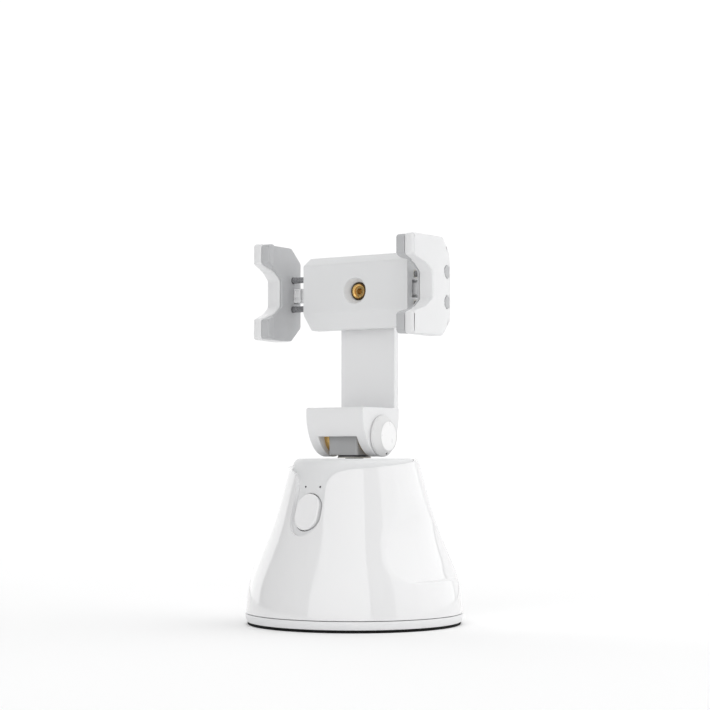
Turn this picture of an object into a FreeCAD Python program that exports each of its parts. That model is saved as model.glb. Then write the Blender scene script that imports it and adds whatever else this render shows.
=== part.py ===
import FreeCAD, Part
import math
import os
from FreeCAD import Matrix, Placement, Rotation, Vector

os.makedirs("parts", exist_ok=True)

# Frame: millimetres, +Z up, origin on the base axis at table height.
# The front of the phone clamp faces -Y and the tilt knob is on +X.

X_AXIS, Y_AXIS, Z_AXIS = Vector(1, 0, 0), Vector(0, 1, 0), Vector(0, 0, 1)
ORIGIN = Vector(0, 0, 0)

# --- base -------------------------------------------------------------------------------
BASE_TURN_DEG = -5.2                # the head is panned this far from the base's front
LIP_R = 47.8
FOOT_R, FOOT_INNER_R, FOOT_H = 46.9, 36.0, 1.2
LIP_Z = 4.8                         # top of the bottom cover's lip
SEAM = 0.3                          # dark line between cover and shell
SHELL_Z = LIP_Z + SEAM
BELL = [(47.6, 3.0), (46.3, 16.9), (41.2, 31.8), (35.4, 46.5), (31.6, 60.0), (28.2, 73.0), (28.0, 74.0)]
SHELL_WALL = 2.0
SKIN_GAP = 0.1
INNER_WALL = 1.5
INNER_Z, TOP_Z = 12.0, 72.4
TOP_ROUND = 3.0
NECK_Z, NECK_SLOPE = 70.4, 0.108    # slanted top edge of the outer shell
SLOT_W, SLOT_LOW_Z, SLOT_FLARE_R, SLOT_FLARE_Z = 16.4, 39.5, 6.5, 60.5
SLOT_FLARE_DEG, SLOT_MOUTH_RUN = 75.0, 7.0      # the flare's arc, then its straight run to the neck

# --- side grips -------------------------------------------------------------------------
GRIP_AZIMUTH_DEG = 93.0
GRIP_OFFSET = 27.0                  # the grip surface turns about an axis this far behind
GRIP = [(70.8, 20.5), (67.8, 25.0), (65.4, 30.0), (63.1, 36.0), (61.7, 41.0),
        (61.1, 46.0), (60.8, 51.0), (60.6, 56.0)]

# --- power button and lights ------------------------------------------------------------
BUTTON_Z, BUTTON_W, BUTTON_H = 49.4, 12.3, 16.1
BUTTON_GAP, BUTTON_PROUD, BUTTON_DEPTH = 0.4, 1.2, 3.2
BUTTON_FLANGE, BUTTON_TRAVEL, BUTTON_ROUND = 1.2, 1.0, 0.6
LIGHT_SPACING, LIGHT_Z, LIGHT_R, LIGHT_L = 7.9, 60.2, 0.45, 2.0

# --- cells, gearing, pan shaft ----------------------------------------------------------
CELL_R, CELL_Z, CELL_TOP_Z, CELL_RING_R = 7.1, 6.5, 57.0, 18.0
CELL_AZIMUTHS_DEG = (60.0, 180.0, 300.0)
DECK_Z, DECK_H, DECK_R = 58.5, 2.0, 26.8
DECK_BOSS_R, DECK_BOSS_RING_R = 3.0, 22.3
DECK_BOSS_AZIMUTHS_DEG = (45.0, 180.0, 315.0)
PAN_MODULE, PAN_PINION_TEETH, PAN_GEAR_TEETH = 0.5, 12, 48
PAN_CENTRES = PAN_MODULE * (PAN_PINION_TEETH + PAN_GEAR_TEETH) / 2
PAN_GEAR_Z, PAN_GEAR_H = 61.0, 3.6
SHAFT_R, SHAFT_Z, SHAFT_TOP_Z = 4.0, 60.9, 76.0
COLLAR_R, COLLAR_Z, POST_Z = 7.2, 73.1, 73.9
BEARING_R, BEARING_Z = 7.5, 66.4
RUN_FIT = 0.05                      # radial clearance of a running fit

# --- tilt joint -------------------------------------------------------------------------
TILT_Y, TILT_Z = -1.5, 82.2
POST_HALF_W, BARREL_R = 7.5, 8.0
EAR_IN, EAR_OUT = 10.0, 14.85
YOKE_FRONT_Y, YOKE_BACK_Y, YOKE_TOP_Z, YOKE_MID_Z = -16.3, 13.7, 94.7, 92.2
YOKE_LOW_Z, YOKE_ROUND = 73.2, 1.2
CAVITY_R, FRONT_SLOT_Z, TILT_CLEAR_DEG = 8.6, 82.0, 31.5
BOLT_R = 2.5
NUT_FLATS, NUT_H = 8.0, 3.0
KNOB_R, KNOB_FACE_R, KNOB_H = 9.1, 6.65, 3.9
KNOB_X = EAR_OUT + 0.15

# --- arm --------------------------------------------------------------------------------
ARM_HALF_W, ARM_Y, ARM_T, ARM_TOP_R = 14.1, 11.0, 3.6, 13.5
PIVOT_Z = 147.0

# --- clamp body -------------------------------------------------------------------------
CLAMP_HALF_W, CLAMP_LOW_Z, CLAMP_TOP_Z = 27.5, 130.2, 163.0
COVER_Y, CLAMP_BACK_Y = 9.2, 10.4
FACE_LOW_Z, FACE_TOP_Z, BEVEL_LOW_Y, BEVEL_TOP_Y = 137.9, 159.3, 4.0, 3.0
CUT_TOP, CUT_LOW = (2.0, 3.4), (1.9, 6.4)
CAVITY_HALF_W, CAVITY_Y, CAVITY_LOW_Z, CAVITY_TOP_Z = 24.5, 2.0, 135.6, 158.4
RECESS_R, RECESS_FLOOR_R, RECESS_DEPTH = 5.92, 4.15, 3.3
PIN_HEAD_R, PIN_HEAD_Y, PIN_HEAD_H, PIN_R, PIN_HOLE_R = 3.9, 3.4, 1.6, 2.2, 1.4
PIN_SOCKET_R, PIN_SOCKET_DEPTH = 2.9, 1.1
BOSS_R, BOSS_Y = 5.1, 6.0

# --- jaws -------------------------------------------------------------------------------
JAW_MID_Z, JAW_HALF_H = 146.95, 21.55
JAW_INNER_X, PAD_INNER_X, PAD_BACK_X, LIP_X, LIP_BACK_X = 36.0, 35.45, 36.6, 33.0, 37.3
JAW_FRONT_Y, JAW_BACK_Y, PAD_END_Y, LIP_END_Y = -19.0, 10.3, 10.0, -13.0
LIP_TIP_Y, LIP_FRONT_Y = -15.2, -18.5
JAW_CUT = [(-10.0, 9.15), (-5.5, 6.0)]          # slope from a finger into the C cut, as y and half height
JAW_TOP_END_Y, JAW_SPINE_HALF_H = 2.4, 14.8
SHELL_CORNER_R, PAD_CORNER_R = 1.6, 2.2
JAW_OUTER = [(41.7, -18.3), (43.2, -8.0), (43.9, 4.0), (43.0, 10.3)]
FINGER_H = 9.2
ROD_R, ROD_DZ, ROD_FRONT_Y, ROD_BACK_Y = 1.4, 6.65, 3.9, 7.2
ROD_END_X, ROD_SEAT_X, PLUG_R = 15.0, 41.0, 2.75
BUSH_R = 1.95
JAW_MODULE, JAW_PINION_TEETH = 0.6, 12
JAW_PITCH_R = JAW_MODULE * JAW_PINION_TEETH / 2
JAW_PINION_Y, JAW_PINION_H = 6.1, 2.0
RACK_Y, RACK_H, RACK_BACK, RACK_END_X = 6.2, 1.8, 5.0, 11.0
BAR_HALF_Z, BAR_START_X, BAR_END_X = 2.6, 32.0, 12.5
BLOCK_Z, BLOCK_H, BLOCK_Y, BLOCK_T, BLOCK_D = 143.4, 6.5, 4.6, 3.8, 3.8
SPRING_DZ, SPRING_R, SPRING_WIRE_R, SPRING_X, SPRING_PITCH = 9.6, 0.85, 0.25, 12.0, 1.2
SPRING_Y = 5.55

# --- bottom cover -----------------------------------------------------------------------
LUG_AZIMUTHS_DEG = (0.0, 120.0, 240.0)
LOCATING_R, LOCATING_WALL = 44.6, 1.8
LIP_H, COVER_LOW_R, FLOOR_TOP_Z = 1.6, 47.1, 2.8
LUG_R, LUG_Z, LUG_H = 45.0, 7.0, 1.5
INSERT_R, INSERT_Z, INSERT_TOP_Z, TRIPOD_TAP_R = 5.0, 1.2, 8.0, 2.55
LEAF_W = 4.0

# --- board and switch -------------------------------------------------------------------
BOARD_FRONT, BOARD_T, BOARD_W, BOARD_LOW, BOARD_HIGH = 7.0, 1.4, 17.0, -17.0, 7.0
SWITCH_W, SWITCH_T, STEM_R = 6.0, 2.2, 1.5

# --- gear teeth -------------------------------------------------------------------------
PRESSURE = math.radians(25)
ADDENDUM, DEDENDUM, THINNING = 0.8, 1.15, 0.86   # of the module, and of the tooth's full thickness

# --- knob details -----------------------------------------------------------------------
CAP_T, HEAD_H, PIP_R = 0.9, 2.0, 0.55


# --- helpers ----------------------------------------------------------------------------
def cylinder(radius, height, base, axis=Z_AXIS):
    """Plain cylinder from a base point along an axis."""
    return Part.makeCylinder(radius, height, base, axis)


def tube(outer, inner, height, base, axis=Z_AXIS):
    """Hollow cylinder."""
    return cylinder(outer, height, base, axis).cut(cylinder(inner, height, base, axis))


def box(low, high):
    """Box between two corners."""
    size = [high[i] - low[i] for i in range(3)]
    return Part.makeBox(*size, Vector(*low))


def prism(points, direction):
    """Solid swept from a closed flat polygon."""
    return Part.Face(Part.makePolygon([*points, points[0]])).extrude(direction)


def hexagon(flats, height, base, axis):
    """Hexagonal prism, given across its flats."""
    corner = flats / math.sqrt(3)
    ring = [Vector(corner * math.cos(k * math.pi / 3), corner * math.sin(k * math.pi / 3), 0)
            for k in range(6)]
    solid = prism(ring, Vector(0, 0, height))
    solid.Placement = Placement(base, Rotation(Z_AXIS, axis))
    return solid


def spline(points):
    """Smooth edge through a few points."""
    curve = Part.BSplineCurve()
    curve.interpolate(points)
    return curve.toShape()


def round_edges(solid, radius, chosen):
    """Fillet the edges that chosen(edge) accepts."""
    return solid.makeFillet(radius, [edge for edge in solid.Edges if chosen(edge)])


def polar(radius, azimuth_deg, z):
    """Point at an azimuth counted from the front (-Y) towards +X."""
    angle = math.radians(azimuth_deg)
    return Vector(radius * math.sin(angle), -radius * math.cos(angle), z)


def fuse(shapes):
    """One solid out of touching solids."""
    return shapes[0].multiFuse(shapes[1:]).removeSplitter()


def turned(shape, degrees, centre=ORIGIN, axis=Z_AXIS):
    """Copy of a shape turned about an axis."""
    copy = shape.copy()
    copy.rotate(centre, axis, degrees)
    return copy


def opposite(shape):
    """Copy turned half a turn about the clamp's pivot."""
    return turned(shape, 180, Vector(0, 0, PIVOT_Z), Y_AXIS)


def mirrored(shape):
    """Copy mirrored to the other side of the X = 0 plane."""
    return shape.mirror(ORIGIN, X_AXIS)


# --- bell -------------------------------------------------------------------------------
def bell_edge(inset):
    """Meridian of the bell, moved inwards."""
    return spline([Vector(r - inset, 0, z) for r, z in BELL])


def bell_at(z, inset=0.0):
    """Radius of the bell at a height, and its lean from upright in degrees."""
    level = Part.makeLine(Vector(0, 0, z), Vector(80, 0, z))
    radius = bell_edge(inset).distToShape(level)[1][0][0].x
    upper = Part.makeLine(Vector(0, 0, z + 1), Vector(80, 0, z + 1))
    above = bell_edge(inset).distToShape(upper)[1][0][0].x
    return radius, math.degrees(math.atan(radius - above))


def grip_cutter(inset, side):
    """Space outside one side's grip surface."""
    edge = spline([Vector(r - inset, 0, z) for r, z in GRIP])
    low, high = edge.Vertexes[0].Point, edge.Vertexes[-1].Point
    floor = low - Vector(0, 0, inset)
    far = 90.0
    corners = [high, Vector(far, 0, high.z), Vector(far, 0, floor.z), floor, low]
    lines = [Part.makeLine(a, b) for a, b in zip(corners, corners[1:]) if a.distanceToPoint(b) > 1e-6]
    ring = Part.Face(Part.Wire([edge, *lines])).revolve(ORIGIN, Z_AXIS, 360)
    ring.translate(polar(-GRIP_OFFSET, side * GRIP_AZIMUTH_DEG, 0))
    return ring


def bell_solid(inset, low, high):
    """Filled bell with both grips taken out, between two heights."""
    edge = bell_edge(inset)
    start, end = edge.Vertexes[0].Point, edge.Vertexes[-1].Point
    corners = [end, Vector(0, 0, end.z), Vector(0, 0, start.z), start]
    lines = [Part.makeLine(a, b) for a, b in zip(corners, corners[1:])]
    full = Part.Face(Part.Wire([edge, *lines])).revolve(ORIGIN, Z_AXIS, 360)
    slab = cylinder(60, high - low, Vector(0, 0, low))
    return full.common(slab).cut([grip_cutter(inset, 1), grip_cutter(inset, -1)])


def slot_cutter():
    """Keyhole slot in the front of the outer shell, with a flared mouth."""
    half, mid_z = SLOT_W / 2, SLOT_LOW_Z + SLOT_W / 2
    front = Vector(0, -60, mid_z)
    hole = cylinder(half, 45, front, Y_AXIS)
    straight = box((-half, -60, mid_z), (half, -15, SLOT_FLARE_Z))
    reach, angle = half + SLOT_FLARE_R, math.radians(SLOT_FLARE_DEG)
    arc_x, arc_z = reach - SLOT_FLARE_R * math.cos(angle), SLOT_FLARE_Z + SLOT_FLARE_R * math.sin(angle)
    end_x, end_z = arc_x + SLOT_MOUTH_RUN, arc_z + SLOT_MOUTH_RUN / math.tan(angle)
    side = [(half, SLOT_FLARE_Z), (arc_x, arc_z), (end_x, end_z), (end_x, TOP_Z + 5)]
    outline = [*side, *[(-x, z) for x, z in reversed(side)]]
    mouth = prism([Vector(x, -60, z) for x, z in outline], Vector(0, 45, 0))
    corners = [cylinder(SLOT_FLARE_R, 45, Vector(s * reach, -60, SLOT_FLARE_Z), Y_AXIS) for s in (-1, 1)]
    return fuse([hole, straight, mouth.cut(corners)])


def neck_cutter():
    """Everything above the outer shell's slanted top edge."""
    low = NECK_Z - 60 * NECK_SLOPE
    high = NECK_Z + 60 * NECK_SLOPE
    points = [Vector(-60, -60, low), Vector(-60, 60, high), Vector(-60, 60, 100), Vector(-60, -60, 100)]
    return prism(points, Vector(120, 0, 0))


def on_button(solid):
    """Place a shape drawn on the XZ plane, facing -Y, square to the inner shell at the button."""
    radius, lean = bell_at(BUTTON_Z, SHELL_WALL + SKIN_GAP)
    solid.rotate(ORIGIN, X_AXIS, -lean)
    solid.translate(Vector(0, -radius, BUTTON_Z))
    return solid


def stadium(width, height, front_y, back_y):
    """Upright rounded slab centred on the Y axis."""
    half = width / 2
    rise = height / 2 - half
    ends = [cylinder(half, back_y - front_y, Vector(0, front_y, s * rise), Y_AXIS) for s in (-1, 1)]
    return fuse([box((-half, front_y, -rise), (half, back_y, rise)), *ends])


# --- foot -------------------------------------------------------------------------------


def wedge(outer, inner, low, high, centre_deg, half_deg):
    """Piece of a ring, centred on an azimuth."""
    ring = Part.makeCylinder(outer, high - low, Vector(0, 0, low), Z_AXIS, 2 * half_deg)
    ring = ring.cut(cylinder(inner, high - low, Vector(0, 0, low)))
    return turned(ring, centre_deg - 90 - half_deg)


def bottom_cover():
    """Lip, floor, locating ring with bayonet lugs, and the boss for the tripod insert."""
    rim = Part.makeCone(COVER_LOW_R, LIP_R, LIP_Z - LIP_H - FOOT_H, Vector(0, 0, FOOT_H))
    rim = rim.fuse(cylinder(LIP_R, LIP_H, Vector(0, 0, LIP_Z - LIP_H)))
    rim = rim.cut(cylinder(LOCATING_R - LOCATING_WALL, 5, Vector(0, 0, FLOOR_TOP_Z)))
    ring = tube(LOCATING_R, LOCATING_R - LOCATING_WALL, 5.0, Vector(0, 0, 3.5))
    lugs = [wedge(LUG_R, LOCATING_R - 1, LUG_Z, LUG_Z + LUG_H, a, 7) for a in LUG_AZIMUTHS_DEG]
    boss = cylinder(8, INSERT_TOP_Z - FOOT_H, Vector(0, 0, FOOT_H))
    return fuse([rim, ring, boss, *lugs]).cut(cylinder(INSERT_R, 20, Vector(0, 0, 0)))


def foot_ring():
    """Rubber ring that the base stands on."""
    ring = tube(FOOT_R, FOOT_INNER_R, FOOT_H, ORIGIN)
    return round_edges(ring, 0.4, lambda e: e.BoundBox.ZMax < 0.01)


def tripod_insert():
    """Threaded insert in the middle of the cover, at its tapping size."""
    return tube(INSERT_R, TRIPOD_TAP_R, INSERT_TOP_Z - INSERT_Z, Vector(0, 0, INSERT_Z))


def cell_centres(z):
    """Axis points of the cells at a height."""
    return [polar(CELL_RING_R, a, z) for a in CELL_AZIMUTHS_DEG]


def battery_springs():
    """Bent leaf springs on the cover's floor, one under each cell."""
    strip = [(-4.5, 0), (4.5, 0), (4.5, 0.3), (-3.8, 0.3), (-0.6, 3.25), (1.2, 3.25),
             (3.2, 1.6), (3.4, 1.8), (1.35, 3.55), (-0.75, 3.55), (-4.5, 0.3)]
    leaf = prism([Vector(x, -LEAF_W / 2, z) for x, z in strip], Vector(0, LEAF_W, 0))
    return Part.makeCompound([leaf.translated(c) for c in cell_centres(FLOOR_TOP_Z)])


# --- housing ----------------------------------------------------------------------------
def outer_shell():
    """Glossy bell skin with keyhole slot, slanted neck, grips and bayonet ledges."""
    skin = bell_solid(0, SHELL_Z, TOP_Z).cut(bell_solid(SHELL_WALL, SHELL_Z - 1, TOP_Z + 1))
    ledges = [wedge(46.2, LOCATING_R + 0.1, SHELL_Z + 0.1, LUG_Z - 0.3, a, 8) for a in LUG_AZIMUTHS_DEG]
    return fuse([skin, *ledges]).cut([slot_cutter(), neck_cutter()])


def deck_boss_centres(z):
    """Axis points of the screw bosses above the gear deck."""
    return [polar(DECK_BOSS_RING_R, a, z) for a in DECK_BOSS_AZIMUTHS_DEG]


def inner_shell():
    """Matte shell inside the skin: top, bearing seat, screw bosses, button and light holes."""
    inset = SHELL_WALL + SKIN_GAP
    body = bell_solid(inset, INNER_Z, TOP_Z)
    body = round_edges(body, TOP_ROUND, lambda e: e.BoundBox.ZMin > TOP_Z - 0.01)
    hollow = bell_solid(inset + INNER_WALL, INNER_Z - 1, TOP_Z - 2)
    boss_h = TOP_Z - 1 - DECK_Z - DECK_H
    bosses = [cylinder(DECK_BOSS_R, boss_h, c) for c in deck_boss_centres(DECK_Z + DECK_H)]
    seat = cylinder(BEARING_R + 2, TOP_Z - 1 - BEARING_Z, Vector(0, 0, BEARING_Z))
    shell = fuse([body.cut(hollow), seat, *bosses])
    button = stadium(BUTTON_W + 2 * BUTTON_GAP, BUTTON_H + 2 * BUTTON_GAP, -4, 4)
    holes = [cylinder(BEARING_R, 20, Vector(0, 0, BEARING_Z - 1)), on_button(button)]
    holes += [cylinder(1.0, 8, c) for c in deck_boss_centres(DECK_Z + DECK_H)]
    holes += [cylinder(LIGHT_R, 12, Vector(s * LIGHT_SPACING / 2, -36, LIGHT_Z), Y_AXIS) for s in (-1, 1)]
    return shell.cut(holes)


def led_lenses():
    """Two small light guides flush with the inner shell."""
    radius, _ = bell_at(LIGHT_Z, SHELL_WALL + SKIN_GAP)
    x = LIGHT_SPACING / 2
    face = -math.sqrt(radius * radius - x * x)
    return Part.makeCompound([cylinder(LIGHT_R, LIGHT_L, Vector(s * x, face + 0.15, LIGHT_Z), Y_AXIS)
                              for s in (-1, 1)])


def battery_cells():
    """Three upright cells."""
    body = [cylinder(CELL_R, CELL_TOP_Z - 1.2 - CELL_Z, c) for c in cell_centres(CELL_Z)]
    tips = [cylinder(2.7, 1.2, c) for c in cell_centres(CELL_TOP_Z - 1.2)]
    return Part.makeCompound([a.fuse(b) for a, b in zip(body, tips)])


def battery_cradle():
    """Three tubes that hold the cells, tied together by a web."""
    tubes = [cylinder(CELL_R + 1.3, 45, c) for c in cell_centres(10)]
    web = cylinder(11, 2.5, Vector(0, 0, 10))
    return fuse([web, *tubes]).cut([cylinder(CELL_R + 0.15, 60, c) for c in cell_centres(5)])


def contact_strips():
    """Metal strips on the cells' upper ends."""
    pads = [cylinder(5.5, 0.5, c) for c in cell_centres(CELL_TOP_Z)]
    left, back, right = (Vector(c.x, c.y, 0) for c in cell_centres(0))
    links = [bar_between(back, end, 3.0, CELL_TOP_Z, 0.5) for end in (left, right)]
    return fuse([*pads, *links])


def bar_between(start, end, width, z, height):
    """Flat bar between two points of a level plane."""
    run = end - start
    bar = box((0, -width / 2, 0), (run.Length, width / 2, height))
    bar.rotate(ORIGIN, Z_AXIS, math.degrees(math.atan2(run.y, run.x)))
    bar.translate(Vector(start.x, start.y, z))
    return bar


def circuit_board():
    """Board behind the button, square to it, with a few chips."""
    board = box((-BOARD_W / 2, BOARD_FRONT, BOARD_LOW), (BOARD_W / 2, BOARD_FRONT + BOARD_T, BOARD_HIGH))
    chips = [box((-4, BOARD_FRONT - 1, -14), (4, BOARD_FRONT, -7)),
             box((4.6, BOARD_FRONT - 0.8, -6), (7.4, BOARD_FRONT, -3))]
    return on_button(fuse([board, *chips]))


def power_switch():
    """Push switch on the board, just beyond the button stem's travel."""
    half = SWITCH_W / 2
    body = box((-half, BOARD_FRONT - SWITCH_T, -half), (half, BOARD_FRONT, half))
    return on_button(body)


def power_button():
    """Domed stadium cap, a flange behind the wall and a stem to the switch."""
    cap = stadium(BUTTON_W, BUTTON_H, -BUTTON_PROUD, BUTTON_DEPTH)
    cap = round_edges(cap, BUTTON_ROUND, lambda e: e.BoundBox.YMax < -BUTTON_PROUD + 0.01)
    flange_w, flange_h = BUTTON_W + 2 * BUTTON_FLANGE, BUTTON_H + 2 * BUTTON_FLANGE
    flange = stadium(flange_w, flange_h, BUTTON_DEPTH - 0.8, BUTTON_DEPTH)
    stem_end = BOARD_FRONT - SWITCH_T - BUTTON_TRAVEL - 0.1
    stem = cylinder(STEM_R, stem_end - BUTTON_DEPTH, Vector(0, BUTTON_DEPTH, 0), Y_AXIS)
    return on_button(fuse([cap, flange, stem]))


def gear_motor():
    """Small flat gear motor hung under the deck, with its output shaft."""
    y = -PAN_CENTRES
    body = box((-6, y - 5, 34.5), (6, y + 5, DECK_Z))
    shaft = cylinder(1.5, 6.6, Vector(0, y, DECK_Z))
    return body.fuse(shaft)


def gear_deck():
    """Plate that carries the motor and closes the cell space."""
    plate = cylinder(DECK_R, DECK_H, Vector(0, 0, DECK_Z))
    holes = [cylinder(2.0, 5, Vector(0, -PAN_CENTRES, DECK_Z - 1)),
             cylinder(3.2, 5, Vector(0, 0, DECK_Z - 1))]
    holes += [cylinder(1.1, 5, c) for c in deck_boss_centres(DECK_Z - 1)]
    return plate.cut(holes)


def pan_screw(centre):
    """Pan-head screw pointing up from a centre under the deck."""
    head = cylinder(2.2, 0.9, centre - Vector(0, 0, 0.9))
    return head.fuse(cylinder(1.0, 8.0, centre))


def deck_screws():
    """Screws that hold the deck to the inner shell."""
    return Part.makeCompound([pan_screw(c) for c in deck_boss_centres(DECK_Z)])


def shaft_bearing():
    """Bush in the top of the inner shell."""
    return tube(BEARING_R, SHAFT_R + RUN_FIT, TOP_Z - 0.1 - BEARING_Z, Vector(0, 0, BEARING_Z))


# --- gears ------------------------------------------------------------------------------


def involute(angle):
    return math.tan(angle) - angle


def gear_outline(teeth, module):
    """Closed ring of points of a spur gear with a tooth centred on +X."""
    pitch = module * teeth / 2
    base = pitch * math.cos(PRESSURE)
    root, tip = pitch - DEDENDUM * module, pitch + ADDENDUM * module
    half = math.pi / 2 / teeth * THINNING
    radii = [max(root, base) + (tip - max(root, base)) * k / 4 for k in range(5)]

    def half_angle(radius):
        return half + involute(PRESSURE) - involute(math.acos(min(1.0, base / radius)))

    flank = [(radius, half_angle(radius)) for radius in radii]
    if root < base:
        flank.insert(0, (root, flank[0][1]))
    points = []
    for tooth in range(teeth):
        mid = 2 * math.pi * tooth / teeth
        points += [(radius, mid - angle) for radius, angle in flank]
        points += [(radius, mid + angle) for radius, angle in reversed(flank)]
    return [Vector(radius * math.cos(angle), radius * math.sin(angle), 0) for radius, angle in points]


def spur_gear(teeth, module, height, bore):
    """Spur gear on the XY plane with a round bore."""
    return prism(gear_outline(teeth, module), Vector(0, 0, height)).cut(cylinder(bore, height, ORIGIN))


def drive_pinion():
    """Motor pinion; a tooth gap faces the output gear."""
    gear = spur_gear(PAN_PINION_TEETH, PAN_MODULE, PAN_GEAR_H, 1.5 + RUN_FIT)
    gear.rotate(ORIGIN, Z_AXIS, 90 + 180 / PAN_PINION_TEETH)
    gear.translate(Vector(0, -PAN_CENTRES, PAN_GEAR_Z))
    return gear


def output_gear():
    """Large gear on the pan shaft; a tooth faces the pinion."""
    gear = spur_gear(PAN_GEAR_TEETH, PAN_MODULE, PAN_GEAR_H, SHAFT_R)
    gear.rotate(ORIGIN, Z_AXIS, -90)
    gear.translate(Vector(0, 0, PAN_GEAR_Z))
    return gear


# --- turntable --------------------------------------------------------------------------
def pan_shaft():
    """Hollow shaft through the bearing, with the collar that the post stands on."""
    shaft = cylinder(SHAFT_R, SHAFT_TOP_Z - SHAFT_Z, Vector(0, 0, SHAFT_Z))
    collar = cylinder(COLLAR_R, POST_Z - COLLAR_Z, Vector(0, 0, COLLAR_Z))
    return fuse([shaft, collar]).cut(cylinder(1.6, 30, Vector(0, 0, SHAFT_Z - 1)))


def turntable_washer():
    """Low-friction ring between the top and the collar."""
    return tube(COLLAR_R + 0.2, SHAFT_R, 0.5, Vector(0, 0, COLLAR_Z - 0.5))


def post_screw():
    """Screw up through the shaft into the post."""
    head = cylinder(2.9, 1.8, Vector(0, 0, SHAFT_Z - 1.8))
    return head.fuse(cylinder(1.5, 17.0, Vector(0, 0, SHAFT_Z)))


def tilt_point(x):
    """Point on the tilt axis."""
    return Vector(x, TILT_Y, TILT_Z)


def tilt_post():
    """Post with the tilt barrel on top."""
    width = 2 * POST_HALF_W
    barrel = cylinder(BARREL_R, width, tilt_point(-POST_HALF_W), X_AXIS)
    leg = box((-POST_HALF_W, TILT_Y - BARREL_R, POST_Z), (POST_HALF_W, TILT_Y + BARREL_R, TILT_Z))
    body = fuse([barrel, leg])
    body = round_edges(body, 1.2, lambda e: abs(e.BoundBox.ZLength - (TILT_Z - POST_Z)) < 0.01)
    holes = [cylinder(BOLT_R + RUN_FIT, width + 2, tilt_point(-POST_HALF_W - 1), X_AXIS),
             cylinder(SHAFT_R, SHAFT_TOP_Z - POST_Z, Vector(0, 0, POST_Z)),
             cylinder(1.5, SHAFT_Z + 17.0 - POST_Z, Vector(0, 0, POST_Z))]
    return body.cut(holes)


# --- tilt bracket -----------------------------------------------------------------------
def yoke_cavity():
    """Room for the barrel, and for the post to swing under it."""
    width = 2 * EAR_IN
    room = cylinder(CAVITY_R, width, tilt_point(-EAR_IN), X_AXIS)
    slot = box((-EAR_IN, -30, 60), (EAR_IN, 30, FRONT_SLOT_Z))
    swing = [box((-EAR_IN, -CAVITY_R, -30), (EAR_IN, CAVITY_R, 0)) for _ in range(2)]
    for leg, angle in zip(swing, (TILT_CLEAR_DEG, -TILT_CLEAR_DEG)):
        leg.rotate(ORIGIN, X_AXIS, angle)
        leg.translate(tilt_point(0))
    return fuse([room, slot, *swing])


def is_front_top_edge(edge):
    """True for the yoke's front edge on its top face."""
    bounds = edge.BoundBox
    return bounds.YMax < YOKE_FRONT_Y + 0.01 and bounds.ZMin > YOKE_TOP_Z - 0.01


def yoke_block():
    """Half-ellipse cheeks under a flat top, full width."""
    mid_y = (YOKE_FRONT_Y + YOKE_BACK_Y) / 2
    half_y, drop = (YOKE_BACK_Y - YOKE_FRONT_Y) / 2, YOKE_MID_Z - YOKE_LOW_Z
    ellipse = Part.Ellipse(Vector(0, 0, 0), drop, half_y)
    face = Part.Face(Part.Wire(ellipse.toShape()))
    face.transformShape(Matrix(0, 0, 1, -EAR_OUT, 0, 1, 0, mid_y, 1, 0, 0, YOKE_MID_Z, 0, 0, 0, 1))
    cheek = face.extrude(Vector(2 * EAR_OUT, 0, 0))
    cheek = cheek.cut(box((-20, -30, YOKE_MID_Z), (20, 30, 130)))
    top = box((-EAR_OUT, YOKE_FRONT_Y, YOKE_MID_Z), (EAR_OUT, YOKE_BACK_Y, YOKE_TOP_Z))
    block = fuse([cheek, top])
    return round_edges(block, YOKE_ROUND, is_front_top_edge)


def arm():
    """Flat arm up the back, rounded about the clamp's pivot."""
    low_z = YOKE_MID_Z - 6
    plate = box((-ARM_HALF_W, ARM_Y, low_z), (ARM_HALF_W, ARM_Y + ARM_T, PIVOT_Z))
    head = cylinder(ARM_HALF_W, ARM_T, Vector(0, ARM_Y, PIVOT_Z), Y_AXIS)
    trim = box((-20, ARM_Y - 1, PIVOT_Z + ARM_TOP_R), (20, ARM_Y + ARM_T + 1, PIVOT_Z + 30))
    return fuse([plate, head]).cut(trim)


def tilt_bracket():
    """Yoke and arm in one moulding, bored for the hinge bolt, nut and clamp pivot."""
    body = fuse([yoke_block(), arm()])
    holes = [yoke_cavity(),
             cylinder(BOLT_R + RUN_FIT, 2 * EAR_OUT + 2, tilt_point(-EAR_OUT - 1), X_AXIS),
             hexagon(NUT_FLATS, NUT_H + 1, tilt_point(-EAR_OUT - 0.7), X_AXIS),
             cylinder(PIN_R, ARM_T + 2, Vector(0, ARM_Y - 1, PIVOT_Z), Y_AXIS)]
    return body.cut(holes)


def hinge_nut():
    """Captive nut in the left cheek."""
    nut = hexagon(NUT_FLATS, NUT_H, tilt_point(-EAR_OUT + 0.3), X_AXIS)
    return nut.cut(cylinder(BOLT_R + RUN_FIT, 10, tilt_point(-EAR_OUT - 1), X_AXIS))


def friction_washers():
    """Brass washers that fill the gaps beside the barrel."""
    thick = EAR_IN - POST_HALF_W - RUN_FIT
    left = tube(7.4, BOLT_R + RUN_FIT, thick, tilt_point(-EAR_IN), X_AXIS)
    right = tube(7.4, BOLT_R + RUN_FIT, thick, tilt_point(EAR_IN - thick), X_AXIS)
    return Part.makeCompound([left, right])


# --- tilt knob --------------------------------------------------------------------------


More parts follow.
